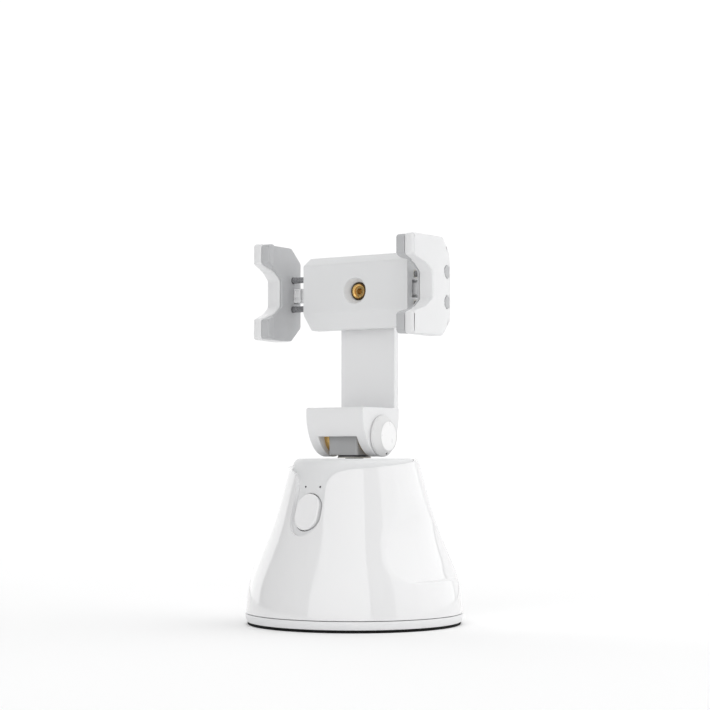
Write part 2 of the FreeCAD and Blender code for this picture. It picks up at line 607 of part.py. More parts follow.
def tilt_knob():
    """Round knob with a bevelled rim, a socket for the bolt head and a pip on the bevel."""
    rim_h = 1.2
    rim = cylinder(KNOB_R, rim_h, tilt_point(KNOB_X), X_AXIS)
    bevel = Part.makeCone(KNOB_R, KNOB_FACE_R, KNOB_H - rim_h, tilt_point(KNOB_X + rim_h), X_AXIS)
    pip = cylinder(PIP_R, 3, tilt_point(KNOB_X + KNOB_H - 1.6) - Vector(0, 0, 7.6), X_AXIS)
    cuts = [cylinder(KNOB_FACE_R - 0.25, 5, tilt_point(KNOB_X + KNOB_H - CAP_T), X_AXIS), pip,
            hexagon(NUT_FLATS, HEAD_H, tilt_point(KNOB_X + KNOB_H - CAP_T - HEAD_H), X_AXIS),
            cylinder(BOLT_R, 6, tilt_point(KNOB_X - 1), X_AXIS)]
    return fuse([rim, bevel]).cut(cuts)


def knob_cap():
    """Thin disc that closes the knob's face."""
    return cylinder(KNOB_FACE_R - 0.3, CAP_T, tilt_point(KNOB_X + KNOB_H - CAP_T), X_AXIS)


def hinge_bolt():
    """Hex bolt on the tilt axis, turned by the knob."""
    head_x = KNOB_X + KNOB_H - CAP_T - HEAD_H
    start = -EAR_OUT + 0.4
    shank = cylinder(BOLT_R, head_x - start, tilt_point(start), X_AXIS)
    return shank.fuse(hexagon(NUT_FLATS, HEAD_H, tilt_point(head_x), X_AXIS))


# --- clamp pivot ------------------------------------------------------------------------
def pivot_point(y):
    """Point on the clamp's turning axis."""
    return Vector(0, y, PIVOT_Z)


def pivot_pin():
    """Brass headed pin that the clamp turns on, fixed in the arm."""
    head = cylinder(PIN_HEAD_R, PIN_HEAD_H, pivot_point(PIN_HEAD_Y), Y_AXIS)
    head = head.makeChamfer(0.3, [e for e in head.Edges if e.BoundBox.YMax < PIN_HEAD_Y + 0.01])
    head_end = PIN_HEAD_Y + PIN_HEAD_H
    shank = cylinder(PIN_R, ARM_Y + ARM_T - head_end, pivot_point(head_end), Y_AXIS)
    holes = [cylinder(PIN_HOLE_R, 14, pivot_point(PIN_HEAD_Y - 1), Y_AXIS),
             cylinder(PIN_SOCKET_R, PIN_SOCKET_DEPTH, pivot_point(PIN_HEAD_Y), Y_AXIS)]
    return fuse([head, shank]).cut(holes)


def pivot_washer():
    """Thin washer between the clamp and the arm."""
    return tube(6.5, PIN_R, 0.5, pivot_point(CLAMP_BACK_Y + 0.08), Y_AXIS)


def pivot_bolt():
    """Screw from behind the arm into the pivot pin."""
    back = ARM_Y + ARM_T
    head = cylinder(4.2, 1.6, pivot_point(back), Y_AXIS)
    head = round_edges(head, 0.5, lambda e: e.BoundBox.YMin > back + 1.59)
    cross = [box((-2.2, back + 0.9, PIVOT_Z - 0.4), (2.2, back + 2, PIVOT_Z + 0.4)),
             box((-0.4, back + 0.9, PIVOT_Z - 2.2), (0.4, back + 2, PIVOT_Z + 2.2))]
    shank = cylinder(PIN_HOLE_R, 5.0, pivot_point(back - 5.0), Y_AXIS)
    return fuse([head, shank]).cut(cross)


# --- clamp body -------------------------------------------------------------------------
def clamp_outline(y):
    """Front outline with cut corners, at a depth."""
    w, low, top = CLAMP_HALF_W, CLAMP_LOW_Z, CLAMP_TOP_Z
    right = [(w, low + CUT_LOW[1]), (w, top - CUT_TOP[1]), (w - CUT_TOP[0], top)]
    left = [(-x, z) for x, z in reversed(right)]
    ends = [(-w + CUT_LOW[0], low), (w - CUT_LOW[0], low)]
    return [Vector(x, y, z) for x, z in [*right, *left, *ends]]


def clamp_bevels():
    """Wedges that slope the front's top and bottom edges back."""
    def wedge_from(face_z, edge_z, depth):
        points = [Vector(-30, -1, face_z), Vector(-30, 0, face_z), Vector(-30, depth, edge_z),
                  Vector(-30, depth, 2 * edge_z - face_z), Vector(-30, -1, 2 * edge_z - face_z)]
        return prism(points, Vector(60, 0, 0))
    return [wedge_from(FACE_TOP_Z, CLAMP_TOP_Z, BEVEL_TOP_Y),
            wedge_from(FACE_LOW_Z, CLAMP_LOW_Z, BEVEL_LOW_Y)]


def rod_points(x, y):
    """Where a jaw's two rods cross a plane."""
    return [Vector(x, y, JAW_MID_Z + s * ROD_DZ) for s in (-1, 1)]


def clamp_screw_points(y):
    """Cover screw places, in the thick top and bottom walls."""
    return [Vector(sx * 17, y, z) for sx in (-1, 1) for z in (CLAMP_TOP_Z - 2.1, CLAMP_LOW_Z + 2.7)]


def clamp_body():
    """Front moulding: bevelled face, pivot recess, hollow for the rack drive, rod and bar windows."""
    block = prism(clamp_outline(0), Vector(0, COVER_Y, 0)).cut(clamp_bevels())
    hollow = box((-CAVITY_HALF_W, CAVITY_Y, CAVITY_LOW_Z), (CAVITY_HALF_W, COVER_Y, CAVITY_TOP_Z))
    boss = cylinder(BOSS_R, BOSS_Y - CAVITY_Y + 1, pivot_point(CAVITY_Y - 1), Y_AXIS)
    body = fuse([block.cut(hollow), boss])
    head_end = PIN_HEAD_Y + PIN_HEAD_H + 0.1
    holes = [Part.makeCone(RECESS_R, RECESS_FLOOR_R, RECESS_DEPTH, pivot_point(0), Y_AXIS),
             cylinder(RECESS_FLOOR_R, head_end - RECESS_DEPTH, pivot_point(RECESS_DEPTH), Y_AXIS),
             cylinder(PIN_R + RUN_FIT, 10, pivot_point(1), Y_AXIS)]
    wall = CLAMP_HALF_W - CAVITY_HALF_W + 2
    holes += [cylinder(BUSH_R, wall, p, X_AXIS) for p in rod_points(-CLAMP_HALF_W - 1, ROD_FRONT_Y)]
    holes += [cylinder(BUSH_R, wall, p, X_AXIS) for p in rod_points(CAVITY_HALF_W - 1, ROD_BACK_Y)]
    window_low = (-CLAMP_HALF_W - 1, BLOCK_Y - 0.3, BLOCK_Z - 0.3)
    window_high = (CLAMP_HALF_W + 1, COVER_Y, 2 * PIVOT_Z - BLOCK_Z + 0.3)
    ends = box(window_low, window_high).cut(box((-CAVITY_HALF_W + 1, 0, 100), (CAVITY_HALF_W - 1, 20, 200)))
    holes += [ends] + [cylinder(0.9, 5, p, Y_AXIS) for p in clamp_screw_points(COVER_Y - 4.9)]
    return body.cut(holes)


def clamp_back_cover():
    """Plate that closes the clamp's hollow."""
    plate = prism(clamp_outline(COVER_Y), Vector(0, CLAMP_BACK_Y - COVER_Y, 0))
    plate = plate.makeChamfer(0.5, [e for e in plate.Edges if e.BoundBox.YMin > CLAMP_BACK_Y - 0.01])
    hub = cylinder(3.4, 0.9, pivot_point(COVER_Y - 0.9), Y_AXIS)
    holes = [cylinder(PIN_R + RUN_FIT, 5, pivot_point(COVER_Y - 2), Y_AXIS)]
    holes += [cylinder(1.75, 1, p, Y_AXIS) for p in clamp_screw_points(CLAMP_BACK_Y - 0.7)]
    holes += [cylinder(0.95, 3, p, Y_AXIS) for p in clamp_screw_points(COVER_Y - 1)]
    return fuse([plate, hub]).cut(holes)


def clamp_screws():
    """Small screws of the back cover."""
    heads = [cylinder(1.7, 0.6, p, Y_AXIS) for p in clamp_screw_points(CLAMP_BACK_Y - 0.7)]
    shanks = [cylinder(0.85, 4.9, p, Y_AXIS) for p in clamp_screw_points(CLAMP_BACK_Y - 5.6)]
    return Part.makeCompound([a.fuse(b) for a, b in zip(heads, shanks)])


def guide_bushes():
    """Bushes that guide the rods through the clamp's end walls."""
    length = CLAMP_HALF_W - CAVITY_HALF_W + 0.8
    starts = [*rod_points(-CLAMP_HALF_W + 0.1, ROD_FRONT_Y),
              *rod_points(CLAMP_HALF_W - 0.1 - length, ROD_BACK_Y)]
    return Part.makeCompound([tube(BUSH_R, ROD_R + RUN_FIT, length, p, X_AXIS) for p in starts])


def jaw_pinion():
    """Small gear between the two racks; teeth point up and down at rest."""
    gear = spur_gear(JAW_PINION_TEETH, JAW_MODULE, JAW_PINION_H, PIN_R + RUN_FIT)
    gear.rotate(ORIGIN, X_AXIS, -90)
    gear.rotate(ORIGIN, Y_AXIS, 180 / JAW_PINION_TEETH)
    gear.translate(pivot_point(JAW_PINION_Y))
    return gear


def jaw_springs():
    """Two coils, stretched between the jaws' spring clips, that pull the jaws together."""
    length = 2 * (SPRING_X - 1.3)
    path = Part.Wire(Part.makeHelix(SPRING_PITCH, length, SPRING_R))
    wire = Part.Wire(Part.Circle(Vector(SPRING_R, 0, 0), Y_AXIS, SPRING_WIRE_R).toShape())
    coil = path.makePipeShell([wire], True, True)
    coil.rotate(ORIGIN, Y_AXIS, 90)
    coil.translate(Vector(-length / 2, SPRING_Y, PIVOT_Z))
    return Part.makeCompound([coil.translated(Vector(0, 0, side * SPRING_DZ)) for side in (-1, 1)])


# --- jaws: the right one is built, the left one is its opposite or its mirror image -----
def jaw_side_outline(x, inset):
    """Side view of a jaw: two front fingers, a C cut between them and chamfered back corners."""
    front, back = JAW_FRONT_Y, JAW_BACK_Y
    top = JAW_HALF_H - inset
    finger = JAW_HALF_H - FINGER_H + inset
    (slope_y, slope_z), (cut_y, cut_z) = JAW_CUT
    upper = [(JAW_TOP_END_Y, top), (front, top), (front, finger), (slope_y, slope_z + inset),
             (cut_y + inset, cut_z)]
    lower = [(y, -z) for y, z in reversed(upper)]
    spine = [(back - inset, -JAW_SPINE_HALF_H), (back - inset, JAW_SPINE_HALF_H)]
    return [Vector(x, y, JAW_MID_Z + z) for y, z in [*upper, *lower, *spine]]


def jaw_side(inset, fillet):
    """Side profile as a thick block, with its upright corners softened."""
    block = prism(jaw_side_outline(30, inset), Vector(20, 0, 0))
    return round_edges(block, fillet, lambda e: abs(e.BoundBox.XLength - 20) < 0.01)


def jaw_outer_edge():
    """Bulged outer edge of a jaw, seen from above."""
    return spline([Vector(x, y, 0) for x, y in JAW_OUTER])


def plan_solid(edges):
    """Closed plan outline extruded over the jaw's height."""
    face = Part.Face(Part.Wire(Part.__sortEdges__(edges)))
    solid = face.extrude(Vector(0, 0, 2 * JAW_HALF_H + 4))
    solid.translate(Vector(0, 0, JAW_MID_Z - JAW_HALF_H - 2))
    return solid


def lines_through(points):
    """Straight edges joining plan points."""
    vectors = [Vector(x, y, 0) for x, y in points]
    return [Part.makeLine(a, b) for a, b in zip(vectors, vectors[1:])]


def jaw_shell(rod_y):
    """Hard outer shell of the right jaw, bored for its rods and plugs."""
    outer = jaw_outer_edge()
    inner = lines_through([JAW_OUTER[-1], (PAD_BACK_X, JAW_BACK_Y), (PAD_BACK_X, LIP_END_Y + 0.7),
                           (LIP_BACK_X, LIP_END_Y), (LIP_BACK_X, JAW_FRONT_Y),
                           (41.1, JAW_FRONT_Y), JAW_OUTER[0]])
    shell = plan_solid([outer, *inner]).common(jaw_side(0, SHELL_CORNER_R))
    bores = [cylinder(ROD_R, 8, p, X_AXIS) for p in rod_points(JAW_INNER_X - 1, rod_y)]
    bores += [cylinder(PLUG_R, 8, p, X_AXIS) for p in rod_points(ROD_SEAT_X, rod_y)]
    return shell.cut(bores)


def jaw_pads(rod_y, block_low_z):
    """Rubber lining of the right jaw: thin on the inner face, thick at the two front lips."""
    front = JAW_FRONT_Y + 0.05
    outline = lines_through([(LIP_X, LIP_TIP_Y), (LIP_X, LIP_FRONT_Y), (LIP_X + 0.5, front), (LIP_BACK_X, front),
                             (LIP_BACK_X, LIP_END_Y), (PAD_BACK_X, LIP_END_Y + 0.7),
                             (PAD_BACK_X, PAD_END_Y), (PAD_INNER_X, PAD_END_Y),
                             (PAD_INNER_X, LIP_END_Y), (LIP_X, LIP_TIP_Y)])
    pads = plan_solid(outline).common(jaw_side(0.25, PAD_CORNER_R))
    block = box((PAD_INNER_X - 1, BLOCK_Y - 0.1, block_low_z - 0.1),
                (PAD_BACK_X + 1, BLOCK_Y + BLOCK_D + 0.1, block_low_z + BLOCK_H + 0.1))
    return pads.cut([block, *[cylinder(ROD_R + RUN_FIT, 8, p, X_AXIS) for p in rod_points(30, rod_y)]])


def jaw_rods(rod_y):
    """Two steel rods of the right jaw, reaching past the clamp's middle."""
    length = ROD_SEAT_X + ROD_END_X
    return Part.makeCompound([cylinder(ROD_R, length, p, X_AXIS) for p in rod_points(-ROD_END_X, rod_y)])


def rod_plugs(rod_y):
    """Soft plugs over the rod ends, flush with the jaw's outer face."""
    edges = [jaw_outer_edge(), *lines_through([JAW_OUTER[-1], (30, JAW_BACK_Y), (30, -18.3), JAW_OUTER[0]])]
    inside = plan_solid(edges)
    plugs = [cylinder(PLUG_R, 8, p, X_AXIS).common(inside) for p in rod_points(ROD_SEAT_X, rod_y)]
    return Part.makeCompound(plugs)


def rack_teeth():
    """Rack teeth along X above a pitch line at zero height, gaps centred on a whole pitch."""
    pitch = math.pi * JAW_MODULE
    lean = math.tan(PRESSURE)
    half = pitch / 4 * THINNING
    tip, root = -ADDENDUM * JAW_MODULE, DEDENDUM * JAW_MODULE
    teeth = []
    for k in range(-5, 6):
        mid = pitch * k
        points = [(mid - half - root * lean, root), (mid - half - tip * lean, tip),
                  (mid + half + tip * lean, tip), (mid + half + root * lean, root)]
        teeth.append(prism([Vector(x, 0, z) for x, z in points], Vector(0, RACK_H, 0)))
    return teeth


def left_rack():
    """Left jaw's block, bar and toothed rack, which runs over the pinion."""
    block = box((-PAD_BACK_X, BLOCK_Y, BLOCK_Z), (-JAW_INNER_X + BLOCK_T, BLOCK_Y + BLOCK_D, BLOCK_Z + BLOCK_H))
    far_y = RACK_Y + RACK_H
    bar = box((-BAR_START_X - 1, RACK_Y, PIVOT_Z - BAR_HALF_Z), (-BAR_END_X, far_y, PIVOT_Z + BAR_HALF_Z))
    step = box((-BAR_END_X - 3, RACK_Y, PIVOT_Z), (-BAR_END_X, far_y, PIVOT_Z + RACK_BACK))
    web_low = JAW_PITCH_R + DEDENDUM * JAW_MODULE
    web = box((-BAR_END_X - 1, RACK_Y, PIVOT_Z + web_low), (RACK_END_X, far_y, PIVOT_Z + RACK_BACK))
    teeth = rack_teeth()
    for tooth in teeth:
        tooth.translate(Vector(0, RACK_Y, PIVOT_Z + JAW_PITCH_R))
    slots = [box((-JAW_INNER_X + 1.0, BLOCK_Y - 1, PIVOT_Z + s * 1.6 - 0.45),
                 (-JAW_INNER_X + 2.9, BLOCK_Y + 0.6, PIVOT_Z + s * 1.6 + 0.45)) for s in (-1, 1)]
    return fuse([block, bar, step, web, *teeth]).cut(slots)


def spring_clips(rod_y):
    """Right jaw's lugs on the rods, which hold the springs' ends."""
    lugs = []
    for side in (-1, 1):
        rod_z = JAW_MID_Z + side * ROD_DZ
        low_y, high_y = sorted((rod_y - ROD_R - 0.15, rod_y + ROD_R + 0.15))
        foot = box((-1, low_y, min(rod_z, rod_z + side * 2.0)), (1, high_y, max(rod_z, rod_z + side * 2.0)))
        reach_z = PIVOT_Z + side * (SPRING_DZ + 1.0)
        tab = box((-1, min(low_y, SPRING_Y - 1.2), min(rod_z + side * 1.6, reach_z)),
                  (1, max(high_y, SPRING_Y + 1.2), max(rod_z + side * 1.6, reach_z)))
        lug = fuse([foot, tab])
        lug.translate(Vector(SPRING_X, 0, 0))
        lugs.append(lug.cut(cylinder(ROD_R, 40, Vector(-20, rod_y, rod_z), X_AXIS)))
    return Part.makeCompound(lugs)


# --- assembly ---------------------------------------------------------------------------
BASE_NODES = {
    "bottom_cover": bottom_cover, "foot_ring": foot_ring, "tripod_insert": tripod_insert,
    "battery_springs": battery_springs, "outer_shell": outer_shell, "inner_shell": inner_shell,
    "led_lenses": led_lenses, "battery_cells": battery_cells, "battery_cradle": battery_cradle,
    "contact_strips": contact_strips, "circuit_board": circuit_board, "power_switch": power_switch,
    "power_button": power_button, "gear_motor": gear_motor, "gear_deck": gear_deck,
    "deck_screws": deck_screws, "shaft_bearing": shaft_bearing, "drive_pinion": drive_pinion,
    "output_gear": output_gear,
}
HEAD_NODES = {
    "pan_shaft": pan_shaft, "turntable_washer": turntable_washer, "post_screw": post_screw,
    "tilt_post": tilt_post, "tilt_bracket": tilt_bracket, "hinge_nut": hinge_nut,
    "friction_washers": friction_washers, "tilt_knob": tilt_knob, "knob_cap": knob_cap,
    "hinge_bolt": hinge_bolt, "pivot_pin": pivot_pin, "pivot_washer": pivot_washer,
    "pivot_bolt": pivot_bolt, "clamp_body": clamp_body, "clamp_back_cover": clamp_back_cover,
    "clamp_screws": clamp_screws, "guide_bushes": guide_bushes, "jaw_pinion": jaw_pinion,
    "jaw_springs": jaw_springs,
}
JAW_NODES = {
    "right_jaw_shell": jaw_shell(ROD_BACK_Y), "left_jaw_shell": mirrored(jaw_shell(ROD_FRONT_Y)),
    "right_jaw_pads": jaw_pads(ROD_BACK_Y, 2 * PIVOT_Z - BLOCK_Z - BLOCK_H),
    "left_jaw_pads": mirrored(jaw_pads(ROD_FRONT_Y, BLOCK_Z)),
    "right_jaw_rods": jaw_rods(ROD_BACK_Y), "left_jaw_rods": mirrored(jaw_rods(ROD_FRONT_Y)),
    "right_rod_plugs": rod_plugs(ROD_BACK_Y), "left_rod_plugs": mirrored(rod_plugs(ROD_FRONT_Y)),
    "left_jaw_rack": left_rack(), "right_jaw_rack": opposite(left_rack()),
    "right_spring_clips": spring_clips(ROD_BACK_Y), "left_spring_clips": mirrored(spring_clips(ROD_FRONT_Y)),
}


def main():
    """Build and export every node."""
    nodes = {name: turned(build(), BASE_TURN_DEG) for name, build in BASE_NODES.items()}
    nodes.update({name: build() for name, build in HEAD_NODES.items()})
    nodes.update(JAW_NODES)
    for name, shape in nodes.items():
        print(f"{name:20s} {len(shape.Solids)} solids {shape.Volume:10.1f} mm3 valid {shape.isValid()}")
        shape.exportStep(f"parts/{name}.step")


if __name__ == "__main__":
    main()
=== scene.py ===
"""Looks of a desk gimbal stabilizer: bell base, tilt hinge and spring phone clamp.

Every piece is built in metres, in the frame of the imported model, and rides on one of its bodies.
Sizes in the classes are millimetres, scaled by MM where a mesh is made.
"""

import logging
import math
from collections.abc import Callable, Iterable, Sequence
from dataclasses import dataclass, field
from enum import Enum

import bmesh
import bpy
import numpy as np
from mathutils import Euler, Matrix, Vector


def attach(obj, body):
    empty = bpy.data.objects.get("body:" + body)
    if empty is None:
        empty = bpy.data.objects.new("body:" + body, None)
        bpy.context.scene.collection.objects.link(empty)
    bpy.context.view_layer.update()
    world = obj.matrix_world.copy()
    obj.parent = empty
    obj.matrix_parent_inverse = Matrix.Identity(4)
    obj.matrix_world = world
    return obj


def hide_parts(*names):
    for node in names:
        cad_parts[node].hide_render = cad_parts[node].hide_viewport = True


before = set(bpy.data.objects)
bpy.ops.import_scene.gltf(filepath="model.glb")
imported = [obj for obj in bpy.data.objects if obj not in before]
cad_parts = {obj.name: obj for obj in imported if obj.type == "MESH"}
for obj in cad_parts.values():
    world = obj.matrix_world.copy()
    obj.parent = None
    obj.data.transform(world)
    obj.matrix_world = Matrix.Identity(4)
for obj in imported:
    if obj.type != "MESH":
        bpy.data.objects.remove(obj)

MM = 0.001
JOIN = 0.001 * MM
CUT = 0.002 * MM
PLACES = 100_000
Z_AXIS = Vector((0, 0, 1))
log = logging.getLogger("stabilizer")

Colour = tuple[float, float, float]
Point2 = tuple[float, float]


class Body(Enum):
    """Moving bodies of the mechanism."""

    FOOT = "foot"
    HOUSING = "housing"
    BUTTON = "button"
    PINION = "pinion"
    TURNTABLE = "turntable"
    BRACKET = "bracket"
    KNOB = "knob"
    CLAMP = "clamp"
    CLAMP_PINION = "clamp_pinion"
    LEFT_JAW = "left_jaw"
    RIGHT_JAW = "right_jaw"


class Slot(Enum):
    """Material slots of the record."""

    GLOSS_WHITE = "gloss_white"
    MATTE_WHITE = "matte_white"
    SATIN_WHITE = "satin_white"
    PAD_GREY = "pad_grey"
    FOOT_BLACK = "foot_black"
    STEEL = "steel"
    BRASS = "brass"
    GEAR_NYLON = "gear_nylon"
    CELL_WRAP = "cell_wrap"
    BOARD_GREEN = "board_green"
    LIGHT_DARK = "light_dark"


# --- finishes ---------------------------------------------------------------------------


class NodeSheet:
    """Node tree of one material, with the few nodes that the finishes share."""

    def __init__(self, material: bpy.types.Material) -> None:
        """Clear the tree and lay down the shader, the output and the object coordinates.

        Args:
            material: material whose nodes are rebuilt.
        """
        material.use_nodes = True
        self.tree = material.node_tree
        self.tree.nodes.clear()
        self.shader = self.tree.nodes.new("ShaderNodeBsdfPrincipled")
        output = self.tree.nodes.new("ShaderNodeOutputMaterial")
        self.tree.links.new(self.shader.outputs["BSDF"], output.inputs["Surface"])
        self.place = self.tree.nodes.new("ShaderNodeTexCoord").outputs["Object"]

    def stretched(self, stretch: Sequence[float]) -> bpy.types.NodeSocket:
        """Object coordinates scaled per axis.

        Args:
            stretch: scale along X, Y and Z.

        Returns:
            The mapped coordinates.
        """
        mapping = self.tree.nodes.new("ShaderNodeMapping")
        mapping.inputs["Scale"].default_value = stretch
        self.tree.links.new(self.place, mapping.inputs["Vector"])
        return mapping.outputs["Vector"]

    def noise(self, size: float, detail: float = 2.0,
              stretch: Sequence[float] = (1, 1, 1)) -> bpy.types.NodeSocket:
        """Soft noise whose blotches are about a given size.

        Args:
            size: blotch size in metres.
            detail: octaves of finer noise.
            stretch: scale per axis, for streaks.

        Returns:
            The noise value, from 0 to 1.
        """
        node = self.tree.nodes.new("ShaderNodeTexNoise")
        node.inputs["Scale"].default_value = 1.0 / size
        node.inputs["Detail"].default_value = detail
        self.tree.links.new(self.stretched(stretch), node.inputs["Vector"])
        return node.outputs["Fac"]

    def cells(self, size: float) -> bpy.types.NodeSocket:
        """Distance to the nearest point of a scattered cell pattern.

        Args:
            size: cell size in metres.

        Returns:
            The distance value.
        """
        node = self.tree.nodes.new("ShaderNodeTexVoronoi")
        node.inputs["Scale"].default_value = 1.0 / size
        self.tree.links.new(self.place, node.inputs["Vector"])
        return node.outputs["Distance"]

    def between(self, value: bpy.types.NodeSocket, low: float, high: float,
                start: float = 0.3, end: float = 0.7) -> bpy.types.NodeSocket:
        """Value spread from one range to another.

        Args:
            value: input value.
            low: result at the start of the input range.
            high: result at its end.
            start: start of the input range.
            end: end of the input range.

        Returns:
            The spread value.
        """
        node = self.tree.nodes.new("ShaderNodeMapRange")
        self.tree.links.new(value, node.inputs["Value"])
        for name, number in (("From Min", start), ("From Max", end), ("To Min", low), ("To Max", high)):
            node.inputs[name].default_value = number
        return node.outputs["Result"]

    def blend(self, amount: bpy.types.NodeSocket, first: Colour, second: Colour) -> bpy.types.NodeSocket:
        """Mix of two colours.

        Args:
            amount: mixing factor.
            first: colour at 0.
            second: colour at 1.

        Returns:
            The mixed colour.
        """
        node = self.tree.nodes.new("ShaderNodeMix")
        node.data_type = "RGBA"
        self.tree.links.new(amount, node.inputs["Factor"])
        node.inputs["A"].default_value = (*first, 1)
        node.inputs["B"].default_value = (*second, 1)
        return node.outputs["Result"]

    def relief(self, *layers: tuple[bpy.types.NodeSocket, float]) -> None:
        """Stack bump layers on the shader's normal.

        Args:
            layers: pairs of height value and depth in metres.
        """
        normal = None
        for height, depth in layers:
            node = self.tree.nodes.new("ShaderNodeBump")
            node.inputs["Distance"].default_value = depth
            self.tree.links.new(height, node.inputs["Height"])
            if normal is not None:
                self.tree.links.new(normal, node.inputs["Normal"])
            normal = node.outputs["Normal"]
        self.tree.links.new(normal, self.shader.inputs["Normal"])

    def feed(self, socket: bpy.types.NodeSocket, name: str) -> None:
        """Link a value to one of the shader's inputs.

        Args:
            socket: value to link.
            name: name of the shader input.
        """
        self.tree.links.new(socket, self.shader.inputs[name])

    def fix(self, **values: float | Colour) -> None:
        """Set constant shader inputs, named with underscores for spaces.

        Args:
            values: input names and their numbers or colours.
        """
        for name, value in values.items():
            socket = self.shader.inputs[name.replace("_", " ")]
            socket.default_value = (*value, 1) if isinstance(value, tuple) else value


def shade(colour: Colour, amount: float) -> Colour:
    """Colour made lighter or darker.

    Args:
        colour: linear colour.
        amount: factor on all channels.

    Returns:
        The scaled colour, at most 1.
    """
    return tuple(min(1.0, channel * amount) for channel in colour)


@dataclass(frozen=True)
class Finish:
    """What every finish has: a name, the record's slot, a colour and a roughness."""

    name: str
    slot: Slot
    colour: Colour
    roughness: float

    def material(self) -> bpy.types.Material:
        """Make the material, or find it if another piece already has it.

        Returns:
            The finish's material.
        """
        known = bpy.data.materials.get(self.name)
        if known is None:
            known = bpy.data.materials.new(self.name)
            self.lay(NodeSheet(known))
            known.diffuse_color = (*self.colour, 1)
        return known

    def lay(self, sheet: NodeSheet) -> None:
        """Build the finish's nodes.

        Args:
            sheet: empty node sheet of the material.
        """
        raise NotImplementedError


@dataclass(frozen=True)
class MouldedPlastic(Finish):
    """Injection-moulded plastic, from spark-eroded matte to polished gloss."""

    grain: float = 0.35
    grain_depth: float = 0.012
    wave: float = 9.0
    wave_depth: float = 0.004
    patch: float = 0.012
    coat: float = 0.0

    def lay(self, sheet: NodeSheet) -> None:
        """Faint colour drift, uneven gloss, mould grain and slow surface waves."""
        drift = sheet.noise(22 * MM, 3)
        sheet.feed(sheet.blend(drift, shade(self.colour, 1 - self.patch), shade(self.colour, 1 + self.patch)),
                   "Base Color")
        polish = sheet.noise(3.5 * MM, 4)
        sheet.feed(sheet.between(polish, self.roughness * 0.88, self.roughness * 1.14), "Roughness")
        sheet.fix(IOR=1.49, Coat_Weight=self.coat, Coat_Roughness=0.03)
        sheet.relief((sheet.noise(self.wave * MM, 1), self.wave_depth * MM),
                     (sheet.noise(self.grain * MM, 2), self.grain_depth * MM))


@dataclass(frozen=True)
class Rubber(Finish):
    """Moulded rubber with a fine pebbled skin."""

    pebble: float = 0.45
    depth: float = 0.02
    sheen: float = 0.1
    specular: float = 0.4

    def lay(self, sheet: NodeSheet) -> None:
        """Pebbled relief, dust-soft sheen and a little drift in tone."""
        drift = sheet.noise(6 * MM, 4)
        sheet.feed(sheet.blend(drift, shade(self.colour, 0.94), shade(self.colour, 1.05)), "Base Color")
        sheet.feed(sheet.between(sheet.noise(1.2 * MM, 3), self.roughness - 0.06, self.roughness + 0.06),
                   "Roughness")
        sheet.fix(Specular_IOR_Level=self.specular, Sheen_Weight=self.sheen, Sheen_Roughness=0.5)
        sheet.relief((sheet.cells(self.pebble * MM), self.depth * MM),
                     (sheet.noise(0.15 * MM, 2), self.depth * 0.4 * MM))


@dataclass(frozen=True)
class TurnedMetal(Finish):
    """Turned or ground metal with fine tool marks across one axis."""

    streak: tuple[float, float, float] = (1.0, 0.06, 0.06)
    mark: float = 0.12
    depth: float = 0.003

    def lay(self, sheet: NodeSheet) -> None:
        """Tool marks in tone, gloss and relief over a few dull patches."""
        marks = sheet.noise(self.mark * MM, 3, self.streak)
        sheet.feed(sheet.blend(marks, shade(self.colour, 0.9), shade(self.colour, 1.06)), "Base Color")
        dull = sheet.noise(2.5 * MM, 3)
        sheet.feed(sheet.between(dull, self.roughness * 0.8, self.roughness * 1.3), "Roughness")
        sheet.fix(Metallic=1.0, Anisotropic=0.35)
        sheet.relief((marks, self.depth * MM))


@dataclass(frozen=True)
class CellJacket(Finish):
    """Shrink-wrapped cell jacket with a printed band near the upper end."""

    band_colour: Colour = (0.75, 0.76, 0.78)
    band_low: float = 48.0
    band_high: float = 51.5

    def lay(self, sheet: NodeSheet) -> None:
        """Thin film with small wrinkles and one pale band."""
        height = sheet.tree.nodes.new("ShaderNodeSeparateXYZ")
        sheet.tree.links.new(sheet.place, height.inputs["Vector"])
        rise = sheet.between(height.outputs["Z"], 0, 1, self.band_low * MM, (self.band_low + 0.1) * MM)
        fall = sheet.between(height.outputs["Z"], 1, 0, self.band_high * MM, (self.band_high + 0.1) * MM)
        both = sheet.tree.nodes.new("ShaderNodeMath")
        both.operation = "MULTIPLY"
        sheet.tree.links.new(rise, both.inputs[0])
        sheet.tree.links.new(fall, both.inputs[1])
        sheet.feed(sheet.blend(both.outputs["Value"], self.colour, self.band_colour), "Base Color")
        wrinkle = sheet.noise(1.8 * MM, 3, (1, 1, 0.3))
        sheet.feed(sheet.between(wrinkle, self.roughness - 0.05, self.roughness + 0.08), "Roughness")
        sheet.relief((wrinkle, 0.02 * MM))


@dataclass(frozen=True)
class LacqueredBoard(Finish):
    """Green lacquered board with faint copper tracks under the lacquer."""

    track: float = 1.6

    def lay(self, sheet: NodeSheet) -> None:
        """Tracks as raised paler lines under a glossy coat."""
        node = sheet.tree.nodes.new("ShaderNodeTexBrick")
        node.inputs["Scale"].default_value = 1.0 / (self.track * MM)
        node.inputs["Mortar Size"].default_value = 0.06
        sheet.tree.links.new(sheet.place, node.inputs["Vector"])
        lines = node.outputs["Fac"]
        sheet.feed(sheet.blend(lines, self.colour, shade(self.colour, 2.2)), "Base Color")
        sheet.feed(sheet.between(sheet.noise(1.0 * MM, 3), self.roughness, self.roughness + 0.1), "Roughness")
        sheet.fix(Coat_Weight=0.4, Coat_Roughness=0.12)
        sheet.relief((lines, 0.03 * MM))


